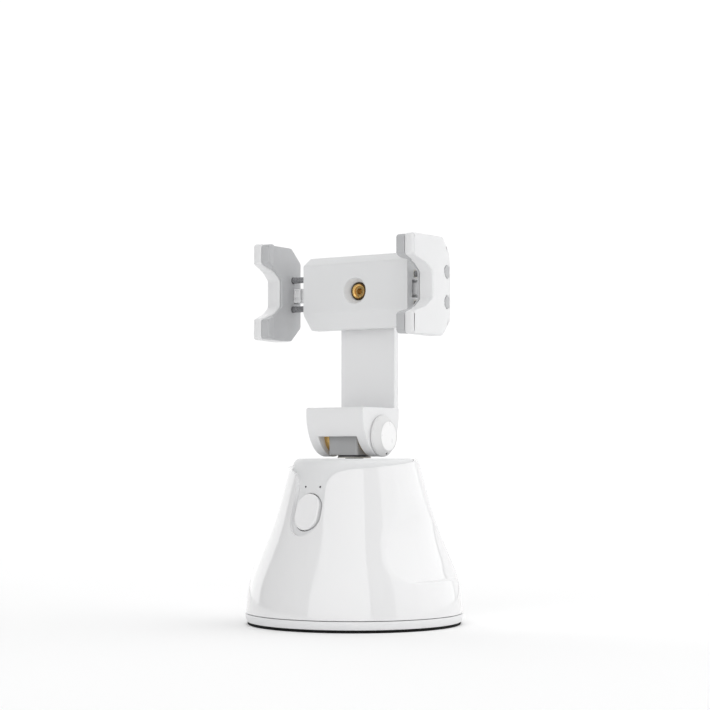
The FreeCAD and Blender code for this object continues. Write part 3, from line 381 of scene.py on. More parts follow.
GLOSS_SHELL = MouldedPlastic("gloss_shell_white", Slot.GLOSS_WHITE, (0.815, 0.815, 0.82), 0.08,
                             grain=0.8, grain_depth=0.0004, wave=14.0, wave_depth=0.003,
                             patch=0.006, coat=0.7)
# Matte white darkened to grey for the tilt post: painted shade for the post standing in shadow between the
# yoke's ears.
POST_WHITE_PAINTED_SHADE = MouldedPlastic("post_white_painted_shade", Slot.MATTE_WHITE, (0.44, 0.445, 0.45), 0.5,
                              grain=0.28, grain_depth=0.008)
BUTTON_GLOSS = MouldedPlastic("button_gloss_white", Slot.GLOSS_WHITE, (0.86, 0.86, 0.865), 0.2,
                              grain=0.6, grain_depth=0.001, wave=6.0, wave_depth=0.002, patch=0.006)
MATTE_SHELL = MouldedPlastic("matte_shell_white", Slot.MATTE_WHITE, (0.76, 0.765, 0.77), 0.5,
                             grain=0.28, grain_depth=0.008)
SATIN_SHELL = MouldedPlastic("satin_shell_white", Slot.SATIN_WHITE, (0.8, 0.802, 0.808), 0.38,
                             grain=0.3, grain_depth=0.005)
JAW_PAD = Rubber("grey_pad_rubber", Slot.PAD_GREY, (0.5, 0.505, 0.515), 0.62)
FOOT_RUBBER = Rubber("black_foot_rubber", Slot.FOOT_BLACK, (0.008, 0.008, 0.008), 0.8, pebble=0.6, depth=0.03,
                     sheen=0.0, specular=0.15)
GROUND_STEEL = TurnedMetal("ground_steel", Slot.STEEL, (0.42, 0.42, 0.43), 0.26, mark=0.6, depth=0.0006)
DARK_STEEL = TurnedMetal("dark_steel", Slot.STEEL, (0.12, 0.12, 0.125), 0.4, depth=0.001)
# Brass darkened nearly to black for the ring round the pin head: painted shade for the dark outline where the
# head sits in its recess.
BRASS_PAINTED_SHADE = TurnedMetal("brass_painted_shade", Slot.BRASS, (0.14, 0.095, 0.05), 0.35, depth=0.001)
# One satin white in two tones: the knob's bevel darker as painted shade, its cap lighter as painted light.
KNOB_WHITE_PAINTED_SHADE = MouldedPlastic("knob_white_painted_shade", Slot.SATIN_WHITE, (0.74, 0.74, 0.74), 0.38,
                              grain=0.28, grain_depth=0.006)
CAP_WHITE_PAINTED_LIGHT = MouldedPlastic("cap_white_painted_light", Slot.SATIN_WHITE, (0.9, 0.9, 0.9), 0.3,
                             grain=0.28, grain_depth=0.006)
UPRIGHT_STEEL = TurnedMetal("plated_steel", Slot.STEEL, (0.62, 0.62, 0.62), 0.3, streak=(1.0, 1.0, 0.08))
TURNED_BRASS = TurnedMetal("turned_brass", Slot.BRASS, (0.78, 0.52, 0.2), 0.24, streak=(0.3, 1.0, 0.3))
GEAR_NYLON = MouldedPlastic("gear_nylon", Slot.GEAR_NYLON, (0.72, 0.7, 0.62), 0.42,
                            grain=0.2, grain_depth=0.006, patch=0.03)
CELL_JACKET = CellJacket("cell_jacket", Slot.CELL_WRAP, (0.05, 0.22, 0.36), 0.3)
GREEN_BOARD = LacqueredBoard("green_board", Slot.BOARD_GREEN, (0.015, 0.12, 0.05), 0.28)
SMOKED_LENS = MouldedPlastic("smoked_lens", Slot.LIGHT_DARK, (0.03, 0.03, 0.034), 0.15,
                             grain=0.2, grain_depth=0.001, coat=0.5)


# --- making and dressing ----------------------------------------------------------------


def piece_from(bm: bmesh.types.BMesh, name: str, smooth_deg: float = 38.0) -> bpy.types.Object:
    """Turn a finished bmesh into an object, smooth but for its sharp edges.

    Args:
        bm: mesh in metres; it is freed.
        name: name of the piece.
        smooth_deg: edges bent more than this stay sharp.

    Returns:
        The new object, at the origin.
    """
    for face in bm.faces:
        face.smooth = True
    for edge in bm.edges:
        edge.smooth = edge.calc_face_angle(math.pi) < math.radians(smooth_deg)
    mesh = bpy.data.meshes.new(name)
    bm.to_mesh(mesh)
    bm.free()
    for layer in ("custom_normal", "sharp_face"):
        if layer in mesh.attributes:
            mesh.attributes.remove(mesh.attributes[layer])
    piece = bpy.data.objects.new(name, mesh)
    bpy.context.scene.collection.objects.link(piece)
    return piece


def dress(piece: bpy.types.Object, finish: Finish, body: Body, *stands_for: str) -> bpy.types.Object:
    """Give a new piece its finish, its body and the nodes it stands for.

    Args:
        piece: the new piece.
        finish: its finish.
        body: the body it rides on.
        stands_for: CAD nodes that it replaces.

    Returns:
        The same piece.
    """
    piece.data.materials.clear()
    piece.data.materials.append(finish.material())
    if stands_for:
        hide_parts(*stands_for)
    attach(piece, body.value)
    log.info("%s on %s in %s", piece.name, body.value, finish.name)
    return piece


def repaint(node: str, finish: Finish) -> None:
    """Give a carried-over CAD node a finish, shape untouched.

    Args:
        node: name of the CAD node.
        finish: its finish.
    """
    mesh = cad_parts[node].data
    mesh.materials.clear()
    mesh.materials.append(finish.material())
    log.info("%s kept, in %s", node, finish.name)


def merged_copy(node: str) -> bmesh.types.BMesh:
    """Copy of a CAD node's mesh with its triangles joined and its flats made whole.

    Args:
        node: name of the CAD node.

    Returns:
        The merged mesh.
    """
    bm = bmesh.new()
    bm.from_mesh(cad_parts[node].data)
    bmesh.ops.remove_doubles(bm, verts=bm.verts, dist=0.002 * MM)
    bmesh.ops.dissolve_degenerate(bm, edges=bm.edges, dist=0.004 * MM)
    bmesh.ops.dissolve_limit(bm, angle_limit=math.radians(0.4), verts=bm.verts, edges=bm.edges,
                             use_dissolve_boundaries=False, delimit=set())
    return bm


def soften(bm: bmesh.types.BMesh, width: float, above_deg: float = 34.0, steps: int = 2) -> None:
    """Round the mesh's sharp edges a little.

    Args:
        bm: mesh in metres.
        width: width of the rounding in millimetres.
        above_deg: edges bent more than this are rounded.
        steps: segments of the rounding.
    """
    sharp = [e for e in bm.edges if e.is_manifold and e.calc_face_angle(0) > math.radians(above_deg)]
    bmesh.ops.bevel(bm, geom=sharp, offset=width * MM, offset_type="OFFSET", segments=steps, profile=0.5,
                    affect="EDGES", clamp_overlap=False, material=-1)


def even_normals(piece: bpy.types.Object) -> None:
    """Let the large faces rule the shading, so that flats look flat beside rounded edges.

    Args:
        piece: the piece to finish.
    """
    modifier = piece.modifiers.new("flat_faces", "WEIGHTED_NORMAL")
    modifier.keep_sharp = True


def softened(node: str, finish: Finish, body: Body, width: float = 0.25,
             above_deg: float = 34.0) -> bpy.types.Object:
    """Piece with a CAD node's exact shape and moulded, rounded edges.

    Args:
        node: CAD node that it stands for.
        finish: its finish.
        body: the body it rides on.
        width: width of the edge rounding in millimetres.
        above_deg: edges bent more than this are rounded.

    Returns:
        The new piece.
    """
    bm = merged_copy(node)
    soften(bm, width, above_deg)
    piece = dress(piece_from(bm, node + "_moulded"), finish, body, node)
    even_normals(piece)
    return piece


def natural_spline(points: Sequence[Point2]) -> Callable[[float], float]:
    """Smooth curve through a few points, straight-ended.

    Args:
        points: value and height pairs, by rising height.

    Returns:
        Function from height to value.
    """
    value = np.array([p[0] for p in points], float)
    height = np.array([p[1] for p in points], float)
    step = np.diff(height)
    count = len(points)
    matrix, load = np.eye(count), np.zeros(count)
    for k in range(1, count - 1):
        matrix[k, k - 1:k + 2] = step[k - 1], 2 * (step[k - 1] + step[k]), step[k]
        load[k] = 6 * ((value[k + 1] - value[k]) / step[k] - (value[k] - value[k - 1]) / step[k - 1])
    bend = np.linalg.solve(matrix, load)

    def at(z: float) -> float:
        """Value of the curve at a height."""
        k = int(np.clip(np.searchsorted(height, z) - 1, 0, count - 2))
        h, a, b = step[k], (height[k + 1] - z) / step[k], (z - height[k]) / step[k]
        return a * value[k] + b * value[k + 1] + ((a**3 - a) * bend[k] + (b**3 - b) * bend[k + 1]) * h * h / 6

    return at


def in_order(bm: bmesh.types.BMesh) -> None:
    """Sort a mesh's elements by their place, so that every run cuts and numbers them alike.

    Args:
        bm: mesh to sort, in metres.
    """

    def vert_place(vert: bmesh.types.BMVert) -> float:
        """One number for a vertex's rounded height, depth and width."""
        x, y, z = (round(value / JOIN) for value in vert.co)
        return float((z * PLACES + y) * PLACES + x)

    def corners_place(element: bmesh.types.BMEdge | bmesh.types.BMFace) -> float:
        """One number for the lowest corners of an edge or a face."""
        first, second, *rest = sorted(vert.index for vert in element.verts)
        return float((first * PLACES + second) * PLACES + (rest[0] if rest else 0))

    bm.verts.sort(key=vert_place)
    bm.verts.index_update()
    bm.edges.sort(key=corners_place)
    bm.faces.sort(key=corners_place)
    bm.edges.index_update()
    bm.faces.index_update()


def swept(bm: bmesh.types.BMesh, profile: Iterable[Point2], closed: bool, steps: int,
          angle: float = math.tau, rise: float = 0.0) -> None:
    """Spin a profile of radius and height round the Z axis.

    Args:
        bm: mesh that takes the surface, in metres.
        profile: chain of radius and height in millimetres.
        closed: whether the chain's ends are joined.
        steps: steps of the turn.
        angle: turn in radians.
        rise: lift per step in millimetres, for a screw.
    """
    chain = [bm.verts.new((r * MM, 0, z * MM)) for r, z in profile]
    ends = [*chain[1:], chain[0]] if closed else chain[1:]
    edges = [bm.edges.new(pair) for pair in zip(chain, ends)]
    bmesh.ops.spin(bm, geom=chain + edges, cent=(0, 0, 0), axis=Z_AXIS, dvec=(0, 0, rise * MM),
                   angle=angle, steps=steps, use_merge=not rise, use_duplicate=False)


def spun(profile: Iterable[Point2], steps: int, closed: bool = False) -> bmesh.types.BMesh:
    """Surface of a full turn, facing outwards.

    Args:
        profile: chain of radius and height in millimetres.
        steps: steps of the full turn.
        closed: whether the chain's ends are joined, which makes a solid.

    Returns:
        The spun mesh.
    """
    bm = bmesh.new()
    swept(bm, profile, closed, steps)
    bmesh.ops.remove_doubles(bm, verts=bm.verts, dist=JOIN)
    in_order(bm)
    bmesh.ops.recalc_face_normals(bm, faces=bm.faces)
    return bm


def turned(name: str, profile: Sequence[Point2], steps: int = 72) -> bpy.types.Object:
    """Solid turned round the Z axis from a closed profile.

    Args:
        name: name of the piece.
        profile: closed ring of radius and height in millimetres.
        steps: steps of the full turn.

    Returns:
        The turned piece.
    """
    return piece_from(spun(profile, steps, closed=True), name, 30)


def thread(name: str, root: float, crest: float, pitch: float, turns: float) -> bpy.types.Object:
    """Inner thread ridge, wound upwards round the Z axis.

    Args:
        name: name of the piece.
        root: radius of the bore in millimetres.
        crest: radius that the ridge reaches inwards to.
        pitch: rise of one turn.
        turns: number of turns.

    Returns:
        The ridge.
    """
    bm = bmesh.new()
    steps = int(40 * turns)
    ridge = ((root, 0.0), (crest, pitch * 0.36), (crest, pitch * 0.5), (root, pitch * 0.86))
    swept(bm, ridge, True, steps, math.tau * turns, pitch * turns / steps)
    bmesh.ops.holes_fill(bm, edges=[e for e in bm.edges if e.is_boundary], sides=len(ridge))
    in_order(bm)
    bmesh.ops.recalc_face_normals(bm, faces=bm.faces)
    return piece_from(bm, name, 30)


def place(piece: bpy.types.Object, move: Vector, turn: Matrix | None = None) -> None:
    """Turn and move a piece's mesh, leaving its object at the origin.

    Args:
        piece: the piece.
        move: shift in millimetres, after the turn.
        turn: rotation about the origin, if any.
    """
    rotation = turn.to_4x4() if turn is not None else Matrix.Identity(4)
    piece.data.transform(Matrix.Translation(move * MM) @ rotation)


def face_outwards(bm: bmesh.types.BMesh) -> None:
    """Flip a ring-like surface whose faces look at the Z axis.

    Args:
        bm: open surface round the Z axis.
    """
    centres = ((face.normal, face.calc_center_median()) for face in bm.faces)
    if sum(normal.dot(Vector((centre.x, centre.y, 0))) for normal, centre in centres) < 0:
        bmesh.ops.reverse_faces(bm, faces=bm.faces)


def within(outline: Sequence[Point2], x: float, z: float) -> bool:
    """Whether a point lies inside a closed outline.

    Args:
        outline: corners of the outline.
        x: point's first coordinate.
        z: point's second coordinate.

    Returns:
        True inside.
    """
    inside = False
    for (ax, az), (bx, bz) in zip(outline, [*outline[1:], outline[0]]):
        if (az > z) != (bz > z) and x < ax + (z - az) * (bx - ax) / (bz - az):
            inside = not inside
    return inside


def weld_beside(bm: bmesh.types.BMesh, kept: list[bmesh.types.BMVert], reach: float) -> None:
    """Merge vertices that crowd a cut edge into the edge's own vertices.

    Args:
        bm: mesh in metres.
        kept: vertices of the cut edge.
        reach: merging distance in millimetres.
    """
    found = bmesh.ops.find_doubles(bm, verts=bm.verts, keep_verts=kept, dist=reach * MM)
    bmesh.ops.weld_verts(bm, targetmap=found["targetmap"])
    bmesh.ops.dissolve_degenerate(bm, edges=bm.edges, dist=0.01 * MM)


# --- base -------------------------------------------------------------------------------


@dataclass
class BellSkin:
    """Glossy outer shell: spun bell, scooped grips, keyhole slot and slanted neck."""

    turn_deg: float = -5.2
    meridian: tuple[Point2, ...] = ((47.6, 3.0), (46.3, 16.9), (41.2, 31.8), (35.4, 46.5), (31.6, 60.0),
                                    (28.2, 73.0), (28.0, 74.0))
    bottom_z: float = 5.1
    top_z: float = 72.4
    neck_z: float = 70.4
    neck_slope: float = 0.108
    wall: float = 2.0
    rim_round: float = 0.18
    grip_azimuth_deg: float = 93.0
    grip_offset: float = 27.0
    grip_line: tuple[Point2, ...] = ((70.8, 20.5), (67.8, 25.0), (65.4, 30.0), (63.1, 36.0), (61.7, 41.0),
                                     (61.1, 46.0), (60.8, 51.0), (60.6, 56.0))
    ledge: float = 0.5
    slot_half: float = 8.2
    slot_low_z: float = 39.5
    flare_r: float = 6.5
    flare_z: float = 60.5
    flare_deg: float = 75.0
    mouth_run: float = 7.0
    columns: int = 288
    crowd: float = 0.22
    open_below_y: float = -5.0
    cut_margin: float = 1.6
    mouth_top_z: float = 90.0
    soft_from: tuple[float, float, float] = (0.35, 34.0, 0.05)

    def heights(self) -> list[float]:
        """Rows of the bell, crowded at the grips' lower ledge.

        Returns:
            Heights in millimetres, rising.
        """
        spans = ((self.bottom_z, 19.4, 15), (19.4, 21.4, 16), (21.4, 25.0, 9), (25.0, 56.0, 42),
                 (56.0, 73.4, 19))
        rows = [z for low, high, count in spans for z in np.linspace(low, high, count, endpoint=False)]
        return [*rows, 73.4]

    def radius(self, direction: Vector, z: float, bell: float, grip: float) -> float:
        """Radius of the skin with its grips blended in.

        Args:
            direction: level unit vector from the base axis.
            z: height in millimetres.
            bell: radius of the plain bell there.
            grip: radius of the grip surface about its own axis.

        Returns:
            The radius in millimetres.
        """
        azimuth = math.radians(self.grip_azimuth_deg)
        facing = abs(direction.x) * math.sin(azimuth) - direction.y * math.cos(azimuth)
        across = grip * grip - self.grip_offset**2 * (1 - facing * facing)
        if facing <= 0 or across <= 0:
            return bell
        scoop = math.sqrt(across) - self.grip_offset * facing
        least, soft_z, growth = self.soft_from
        softness = least + max(0.0, z - soft_z) * growth
        blend = max(softness - abs(bell - scoop), 0.0) / softness
        cut = min(bell, scoop) - blend * blend * softness / 4
        start = self.grip_line[0][1]
        rise = min(1.0, max(0.0, (z - start + self.ledge) / self.ledge))
        return bell + (cut - bell) * rise * rise * (3 - 2 * rise)

    def slot_outline(self) -> list[Point2]:
        """Keyhole outline from the left end of its mouth, round the bottom, to the right end.

        Returns:
            Corners in millimetres, as x and z.
        """
        half, flare, mid_z = self.slot_half, self.flare_r, self.slot_low_z + self.slot_half
        right = [(half * math.cos(a), mid_z + half * math.sin(a)) for a in np.linspace(-math.pi / 2, 0, 17)]
        right += [(half + flare - flare * math.cos(a), self.flare_z + flare * math.sin(a))
                  for a in np.linspace(0, math.radians(self.flare_deg), 13)]
        arc_x, arc_z = right[-1]
        mouth_rise = self.mouth_run / math.tan(math.radians(self.flare_deg))
        right.append((arc_x + self.mouth_run, arc_z + mouth_rise))
        return [(-x, z) for x, z in reversed(right[1:])] + right

    def cut_slot(self, bm: bmesh.types.BMesh) -> None:
        """Open the keyhole slot in the front of the skin.

        Args:
            bm: skin surface in metres.
        """
        outline = self.slot_outline()
        for (ax, az), (bx, bz) in zip(outline, outline[1:]):
            mid_x, mid_z, half = (ax + bx) / 2, (az + bz) / 2, math.hypot(bx - ax, bz - az) / 2
            near = []
            for face in bm.faces:
                centre = face.calc_center_median() / MM
                reach = math.hypot(centre.x - mid_x, centre.z - mid_z)
                if centre.y < self.open_below_y and reach < half + self.cut_margin:
                    near.append(face)
            geom = [*near, *dict.fromkeys(e for f in near for e in f.edges),
                    *dict.fromkeys(v for f in near for v in f.verts)]
            bmesh.ops.bisect_plane(bm, geom=geom, dist=CUT, plane_co=(ax * MM, 0, az * MM),
                                   plane_no=(bz - az, 0, ax - bx))
        closed = [*outline, (outline[-1][0], self.mouth_top_z), (outline[0][0], self.mouth_top_z)]
        gone = []
        for face in bm.faces:
            centre = face.calc_center_median() / MM
            if centre.y < self.open_below_y and within(closed, centre.x, centre.z):
                gone.append(face)
        bmesh.ops.delete(bm, geom=gone, context="FACES")

    def build(self) -> bpy.types.Object:
        """Spin, scoop, cut and thicken the skin.

        Returns:
            The skin piece.
        """
        bell, grip = natural_spline(self.meridian), natural_spline(self.grip_line)
        bm = spun([(bell(z), z) for z in self.heights()], self.columns)
        for vert in bm.verts:
            z = vert.co.z / MM
            direction = Vector((vert.co.x, vert.co.y, 0)).normalized()
            grip_high = self.grip_line[-1][1]
            plain = bell(z)
            if z < grip_high:
                plain = self.radius(direction, z, plain, grip(max(z, self.grip_line[0][1])))
            vert.co.xy = direction.xy * plain * MM
        face_outwards(bm)
        self.cut_slot(bm)
        for point, normal in (((0, 0, self.neck_z * MM), (0, -self.neck_slope, 1)),
                              ((0, 0, self.top_z * MM), (0, 0, 1))):
            whole = list(bm.verts) + list(bm.edges) + list(bm.faces)
            bmesh.ops.bisect_plane(bm, geom=whole, dist=CUT, plane_co=point, plane_no=normal,
                                   clear_outer=True)
        in_order(bm)
        rim = list(dict.fromkeys(v for e in bm.edges if e.is_boundary for v in e.verts))
        weld_beside(bm, rim, self.crowd)
        in_order(bm)
        bmesh.ops.rotate(bm, verts=bm.verts, cent=(0, 0, 0),
                         matrix=Matrix.Rotation(math.radians(self.turn_deg), 3, "Z"))
        skin = dress(piece_from(bm, "bell_skin", 60), GLOSS_SHELL, Body.HOUSING, "outer_shell")
        thick = skin.modifiers.new("wall", "SOLIDIFY")
        thick.thickness, thick.offset, thick.use_even_offset = self.wall * MM, -1.0, True
        rounding = skin.modifiers.new("rim", "BEVEL")
        rounding.width, rounding.segments, rounding.limit_method = self.rim_round * MM, 3, "ANGLE"
        rounding.angle_limit, rounding.use_clamp_overlap = math.radians(62), True
        rounding.harden_normals = True
        return skin


@dataclass
class Base:
    """Everything below the tilt hinge."""

    skin: BellSkin = field(default_factory=BellSkin)
    foot_r: float = 46.9
    foot_inner_r: float = 36.0
    foot_h: float = 1.2
    foot_corner: float = 0.4
    tread_round: float = 0.45
    groove_half: float = 0.8
    groove_depth: float = 0.3
    insert_r: float = 5.0
    insert_low: float = 1.2
    insert_high: float = 8.0
    insert_chamfer: float = 0.3
    insert_groove: tuple[float, ...] = (5.1, 5.3, 5.9, 6.1)
    thread_r: float = 2.55
    thread_root_r: float = 3.15
    thread_pitch: float = 1.27
    thread_turns: float = 4.6
    kept: tuple[tuple[str, Finish], ...] = (
        ("battery_springs", UPRIGHT_STEEL), ("battery_cells", CELL_JACKET), ("battery_cradle", SATIN_SHELL),
        ("contact_strips", UPRIGHT_STEEL), ("circuit_board", GREEN_BOARD), ("power_switch", SMOKED_LENS),
        ("gear_motor", UPRIGHT_STEEL), ("gear_deck", SATIN_SHELL), ("deck_screws", UPRIGHT_STEEL),
        ("drive_pinion", GEAR_NYLON), ("output_gear", GEAR_NYLON), ("post_screw", UPRIGHT_STEEL),
        ("shaft_bearing", GEAR_NYLON), ("turntable_washer", GEAR_NYLON), ("pan_shaft", DARK_STEEL),
    )

    def foot_ring(self) -> bpy.types.Object:
        """Turn the rubber foot ring, with a rounded tread and a shallow groove.

        Returns:
            The ring.
        """
        outer, inner, top = self.foot_r, self.foot_inner_r, self.foot_h
        middle, corner = (outer + inner) / 2, self.foot_corner
        wide, narrow, depth = self.groove_half, self.groove_half / 2, self.groove_depth
        profile = [(inner, top), (inner, corner), (inner + corner, 0.0), (middle - wide, 0.0),
                   (middle - narrow, depth), (middle + narrow, depth), (middle + wide, 0.0),
                   (outer - self.tread_round, 0.0), (outer - 0.12, 0.14), (outer, self.tread_round),
                   (outer, top)]
        ring = turned("foot_ring_tread", profile, 160)
        return dress(ring, FOOT_RUBBER, Body.FOOT, "foot_ring")

    def tripod_insert(self) -> bpy.types.Object:
        """Turn the brass insert and cut its thread.

        Returns:
            The insert.
        """
        low, high, root = self.insert_low, self.insert_high, self.thread_root_r
        outer, bevel = self.insert_r, self.insert_chamfer
        groove = [(outer, self.insert_groove[3]), (outer - bevel, self.insert_groove[2]),
                  (outer - bevel, self.insert_groove[1]), (outer, self.insert_groove[0])]
        profile = [(root, high - bevel), (root + bevel, high), (outer - bevel, high), (outer, high - bevel),
                   *groove, (outer, low), (root + 0.4, low), (root, low + 0.4)]
        insert = dress(turned("tripod_insert_turned", profile), TURNED_BRASS, Body.FOOT, "tripod_insert")
        even_normals(insert)
        ridge = thread("tripod_thread", root + 0.02, self.thread_r, self.thread_pitch, self.thread_turns)
        place(ridge, Vector((0, 0, low + 0.35)))
        dress(ridge, TURNED_BRASS, Body.FOOT)
        return insert

    def build(self) -> None:
        """Build the shells, the foot, the button and the works inside."""
        self.skin.build()
        softened("inner_shell", MATTE_SHELL, Body.HOUSING, 0.15)
        softened("led_lenses", SMOKED_LENS, Body.HOUSING, 0.08)
        softened("power_button", BUTTON_GLOSS, Body.BUTTON, 0.1)
        softened("bottom_cover", SATIN_SHELL, Body.FOOT, 0.3)
        self.foot_ring()
        self.tripod_insert()
        for node, finish in self.kept:
            repaint(node, finish)


# --- hinge, clamp and jaws --------------------------------------------------------------


@dataclass
class Hinge:
    """Tilt post, bracket with its arm, and the knob."""

    edge: float = 0.3
    tilt_y: float = -1.5
    tilt_z: float = 82.2
    pip_r: float = 0.56
    pip_h: float = 0.6
    pip_x: float = 17.55
    pip_drop: float = 7.6
    pivot_z: float = 147.0
    head_r: float = 3.9
    head_y: float = 3.4
    head_h: float = 1.6
    head_chamfer: float = 0.35
    socket_r: float = 2.9
    socket_depth: float = 1.1
    socket_chamfer: float = 0.25
    pin_r: float = 2.2
    pin_bore_r: float = 1.4
    arm_back_y: float = 14.6

    def pivot_pin(self) -> bpy.types.Object:
        """Turn the brass pin: chamfered head, threaded socket and hollow shank.

        Returns:
            The pin.
        """
        start, height, socket_r, head_r = self.head_y, self.head_h, self.socket_r, self.head_r
        floor, end, bore = start + self.socket_depth, self.arm_back_y, self.pin_bore_r
        sleeve_r, mouth = socket_r + 0.3, self.socket_chamfer
        profile = [(bore, floor), (socket_r, floor), (socket_r, start + mouth), (socket_r + mouth, start),
                   (sleeve_r, start), (sleeve_r, start + height),
                   (self.pin_r, start + height), (self.pin_r, end), (bore, end)]
        lie_back = Matrix.Rotation(math.radians(-90), 3, "X")
        pin = turned("pivot_pin_turned", profile)
        place(pin, Vector((0, 0, self.pivot_z)), lie_back)
        dress(pin, TURNED_BRASS, Body.BRACKET, "pivot_pin")
        even_normals(pin)
        # The head's outer ring is darkened brass: painted shade.
        chamfer = self.head_chamfer
        ring = [(sleeve_r, start + 0.1), (sleeve_r + 0.15, start), (head_r - chamfer, start),
                (head_r, start + chamfer), (head_r, start + height), (sleeve_r, start + height)]
        sleeve = turned("pin_sleeve", ring)
        place(sleeve, Vector((0, 0, self.pivot_z)), lie_back)
        dress(sleeve, BRASS_PAINTED_SHADE, Body.BRACKET)
        even_normals(sleeve)
        ridge = thread("pin_thread", socket_r + 0.02, socket_r - 0.32, 0.42, 2.0)
        place(ridge, Vector((0, start + 0.12, self.pivot_z)), lie_back)
        return dress(ridge, TURNED_BRASS, Body.BRACKET)

    def knob_pip(self) -> bpy.types.Object:
        """Make the dark pip on the knob's bevel.

        Returns:
            The pip.
        """
        bm = bmesh.new()
        bmesh.ops.create_cone(bm, cap_ends=True, segments=24, radius1=self.pip_r * MM,
                              radius2=self.pip_r * 0.8 * MM, depth=self.pip_h * MM)
        soften(bm, 0.08, 50)
        bmesh.ops.rotate(bm, verts=bm.verts, cent=(0, 0, 0), matrix=Matrix.Rotation(math.radians(90), 3, "Y"))
        pip = piece_from(bm, "knob_pip")
        place(pip, Vector((self.pip_x, self.tilt_y, self.tilt_z - self.pip_drop)))
        return dress(pip, SMOKED_LENS, Body.KNOB)

    def build(self) -> None:
        """Build the hinge's mouldings and hardware."""
        # The tilt post wears darkened white, which is painted shade.
        softened("tilt_post", POST_WHITE_PAINTED_SHADE, Body.TURNTABLE, self.edge)
        softened("tilt_bracket", SATIN_SHELL, Body.BRACKET, self.edge)
        # Knob darker and cap lighter: painted shade and painted light on one white.
        softened("tilt_knob", KNOB_WHITE_PAINTED_SHADE, Body.KNOB, self.edge)
        softened("knob_cap", CAP_WHITE_PAINTED_LIGHT, Body.KNOB, 0.15)
        self.knob_pip()
        softened("hinge_bolt", GROUND_STEEL, Body.KNOB, 0.2)
        softened("hinge_nut", GROUND_STEEL, Body.BRACKET, 0.2)
        softened("friction_washers", TURNED_BRASS, Body.BRACKET, 0.12)
        self.pivot_pin()
        softened("pivot_bolt", UPRIGHT_STEEL, Body.BRACKET, 0.1)
        softened("pivot_washer", GEAR_NYLON, Body.BRACKET, 0.08)


@dataclass
class PhoneClamp:
    """Clamp body with its cover, screws, bushes, springs and pinion."""

    edge: float = 0.35

    def build(self) -> None:
        """Build the clamp's mouldings and hardware."""
        softened("clamp_body", MATTE_SHELL, Body.CLAMP, self.edge, 20)
        softened("clamp_back_cover", MATTE_SHELL, Body.CLAMP, 0.2)
        softened("clamp_screws", UPRIGHT_STEEL, Body.CLAMP, 0.12)
        softened("guide_bushes", GEAR_NYLON, Body.CLAMP, 0.1)
        softened("jaw_pinion", GEAR_NYLON, Body.CLAMP_PINION, 0.06)
        repaint("jaw_springs", GROUND_STEEL)


@dataclass
class Jaw:
    """One jaw with its lining, rods, plugs, rack and spring clips."""

    side: str
    body: Body
    edge: float = 0.8

    def build(self) -> None:
        """Build the jaw's pieces."""
        softened(f"{self.side}_jaw_shell", SATIN_SHELL, self.body, self.edge)
        softened(f"{self.side}_jaw_pads", JAW_PAD, self.body, 0.5)
        softened(f"{self.side}_rod_plugs", JAW_PAD, self.body, 0.15)
        softened(f"{self.side}_jaw_rods", GROUND_STEEL, self.body, 0.2)
        softened(f"{self.side}_jaw_rack", SATIN_SHELL, self.body, 0.08)
        softened(f"{self.side}_spring_clips", SATIN_SHELL, self.body, 0.12)


# --- studio -----------------------------------------------------------------------------


@dataclass(frozen=True)
class SoftBox:
    """Large soft light on an arc round the object."""

    name: str
    azimuth_deg: float
    width: float
    height: float
    radiance: float
    distance: float = 1.5

    def place(self, camera_azimuth_deg: float) -> None:
        """Put the light up, facing the object.

        Args:
            camera_azimuth_deg: azimuth that the light's own azimuth counts from.
        """
        data = bpy.data.lights.new(self.name, "AREA")
        data.shape, data.size, data.size_y = "RECTANGLE", self.width, self.height
        data.energy = self.radiance * math.pi * self.width * self.height
        light = bpy.data.objects.new(self.name, data)
        angle = math.radians(camera_azimuth_deg + self.azimuth_deg)
        light.location = (self.distance * math.sin(angle), -self.distance * math.cos(angle), self.height / 2)
        light.rotation_euler = Euler((math.radians(90), 0, angle), "XYZ")
        light.visible_camera = False
        bpy.context.scene.collection.objects.link(light)


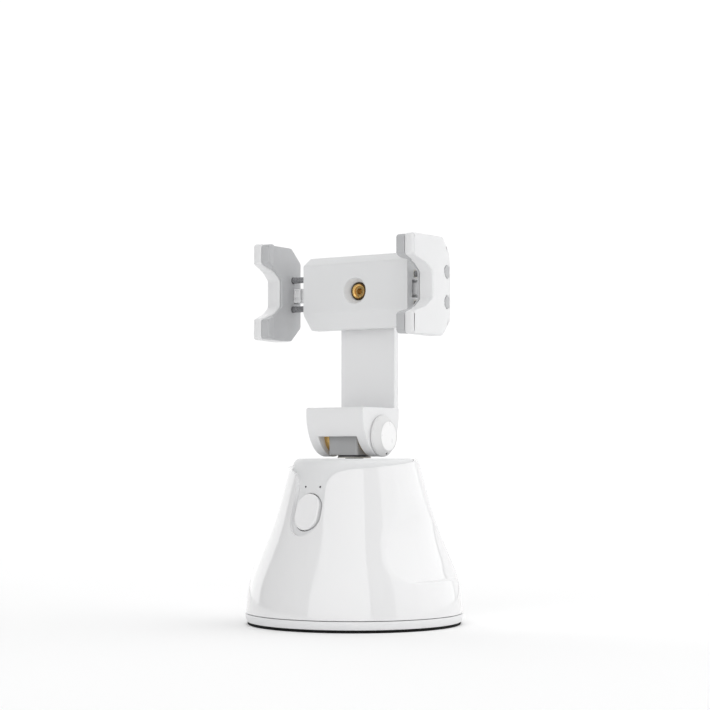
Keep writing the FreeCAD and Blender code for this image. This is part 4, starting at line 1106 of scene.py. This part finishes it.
@dataclass
class Studio:
    """Camera, floor, soft lights and surroundings."""

    azimuth_deg: float = 32.5
    distance: float = 0.7964
    height: float = 0.0725
    pitch_deg: float = 3.29
    yaw_deg: float = -0.022
    lens: float = 91.08
    floor_r: float = 0.9
    surround: float = 0.3
    backdrop: float = 1.05
    sun: float = 0.64
    sun_spread_deg: float = 70.0
    boxes: tuple[SoftBox, ...] = (
        SoftBox("front_box", -16, 1.9, 2.6, 1.16),
        SoftBox("right_box", 90, 2.5, 2.6, 0.88, 1.2),
        SoftBox("right_core_box", 104, 1.5, 2.6, 0.2, 1.2),
        SoftBox("left_rear_box", -150, 1.66, 2.6, 1.08),
        SoftBox("right_rear_box", 160, 1.2, 2.6, 0.72),
    )

    def camera(self) -> None:
        """Create the camera and make it the scene's."""
        data = bpy.data.cameras.new("view_camera")
        data.lens, data.sensor_width = self.lens, 36.0
        data.clip_start, data.clip_end = 0.01, 50.0
        camera = bpy.data.objects.new("view_camera", data)
        angle = math.radians(self.azimuth_deg)
        camera.location = (self.distance * math.sin(angle), -self.distance * math.cos(angle), self.height)
        camera.rotation_euler = Euler((math.radians(90 + self.pitch_deg), 0,
                                       angle + math.radians(self.yaw_deg)), "XYZ")
        bpy.context.scene.collection.objects.link(camera)
        bpy.context.scene.camera = camera

    def floor(self) -> None:
        """Lay a plain pale floor."""
        bm = bmesh.new()
        bmesh.ops.create_circle(bm, cap_ends=True, segments=96, radius=self.floor_r)
        floor = piece_from(bm, "studio_floor")
        paper = bpy.data.materials.new("white_paper")
        sheet = NodeSheet(paper)
        sheet.feed(sheet.blend(sheet.noise(0.4, 2), (0.93, 0.93, 0.93), (0.95, 0.95, 0.95)), "Base Color")
        sheet.fix(Roughness=0.9, Specular_IOR_Level=0.1)
        floor.data.materials.append(paper)

    def surroundings(self) -> None:
        """Even surroundings: pure white to the eye, softer as light."""
        world = bpy.data.worlds.new("studio")
        bpy.context.scene.world = world
        world.use_nodes = True
        tree = world.node_tree
        tree.nodes.clear()
        output = tree.nodes.new("ShaderNodeOutputWorld")
        mix = tree.nodes.new("ShaderNodeMixShader")
        path = tree.nodes.new("ShaderNodeLightPath")
        soft, plain = (tree.nodes.new("ShaderNodeBackground") for _ in range(2))
        soft.inputs["Color"].default_value = (1, 1, 1, 1)
        soft.inputs["Strength"].default_value = self.surround
        plain.inputs["Color"].default_value = (1, 1, 1, 1)
        plain.inputs["Strength"].default_value = self.backdrop
        tree.links.new(path.outputs["Is Camera Ray"], mix.inputs["Fac"])
        tree.links.new(soft.outputs["Background"], mix.inputs[1])
        tree.links.new(plain.outputs["Background"], mix.inputs[2])
        tree.links.new(mix.outputs["Shader"], output.inputs["Surface"])

    def overhead(self) -> None:
        """Hang a very soft overhead light that whitens the floor evenly."""
        data = bpy.data.lights.new("overhead", "SUN")
        data.energy, data.angle = self.sun, math.radians(self.sun_spread_deg)
        light = bpy.data.objects.new("overhead", data)
        bpy.context.scene.collection.objects.link(light)

    def build(self) -> None:
        """Set up the whole studio."""
        self.camera()
        self.floor()
        self.surroundings()
        self.overhead()
        for box in self.boxes:
            box.place(self.azimuth_deg)
        scene = bpy.context.scene
        scene.view_settings.view_transform = "Standard"
        scene.view_settings.look = "None"
        scene.view_settings.exposure = 0.0


def main() -> None:
    """Build every sub-assembly, then the studio."""
    logging.basicConfig(level=logging.INFO, format="%(name)s: %(message)s")
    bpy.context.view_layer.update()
    for part in (Base(), Hinge(), PhoneClamp(), Jaw("left", Body.LEFT_JAW), Jaw("right", Body.RIGHT_JAW)):
        part.build()
        log.info("%s is done", type(part).__name__)
    Studio().build()


if __name__ == "__main__":
    main()
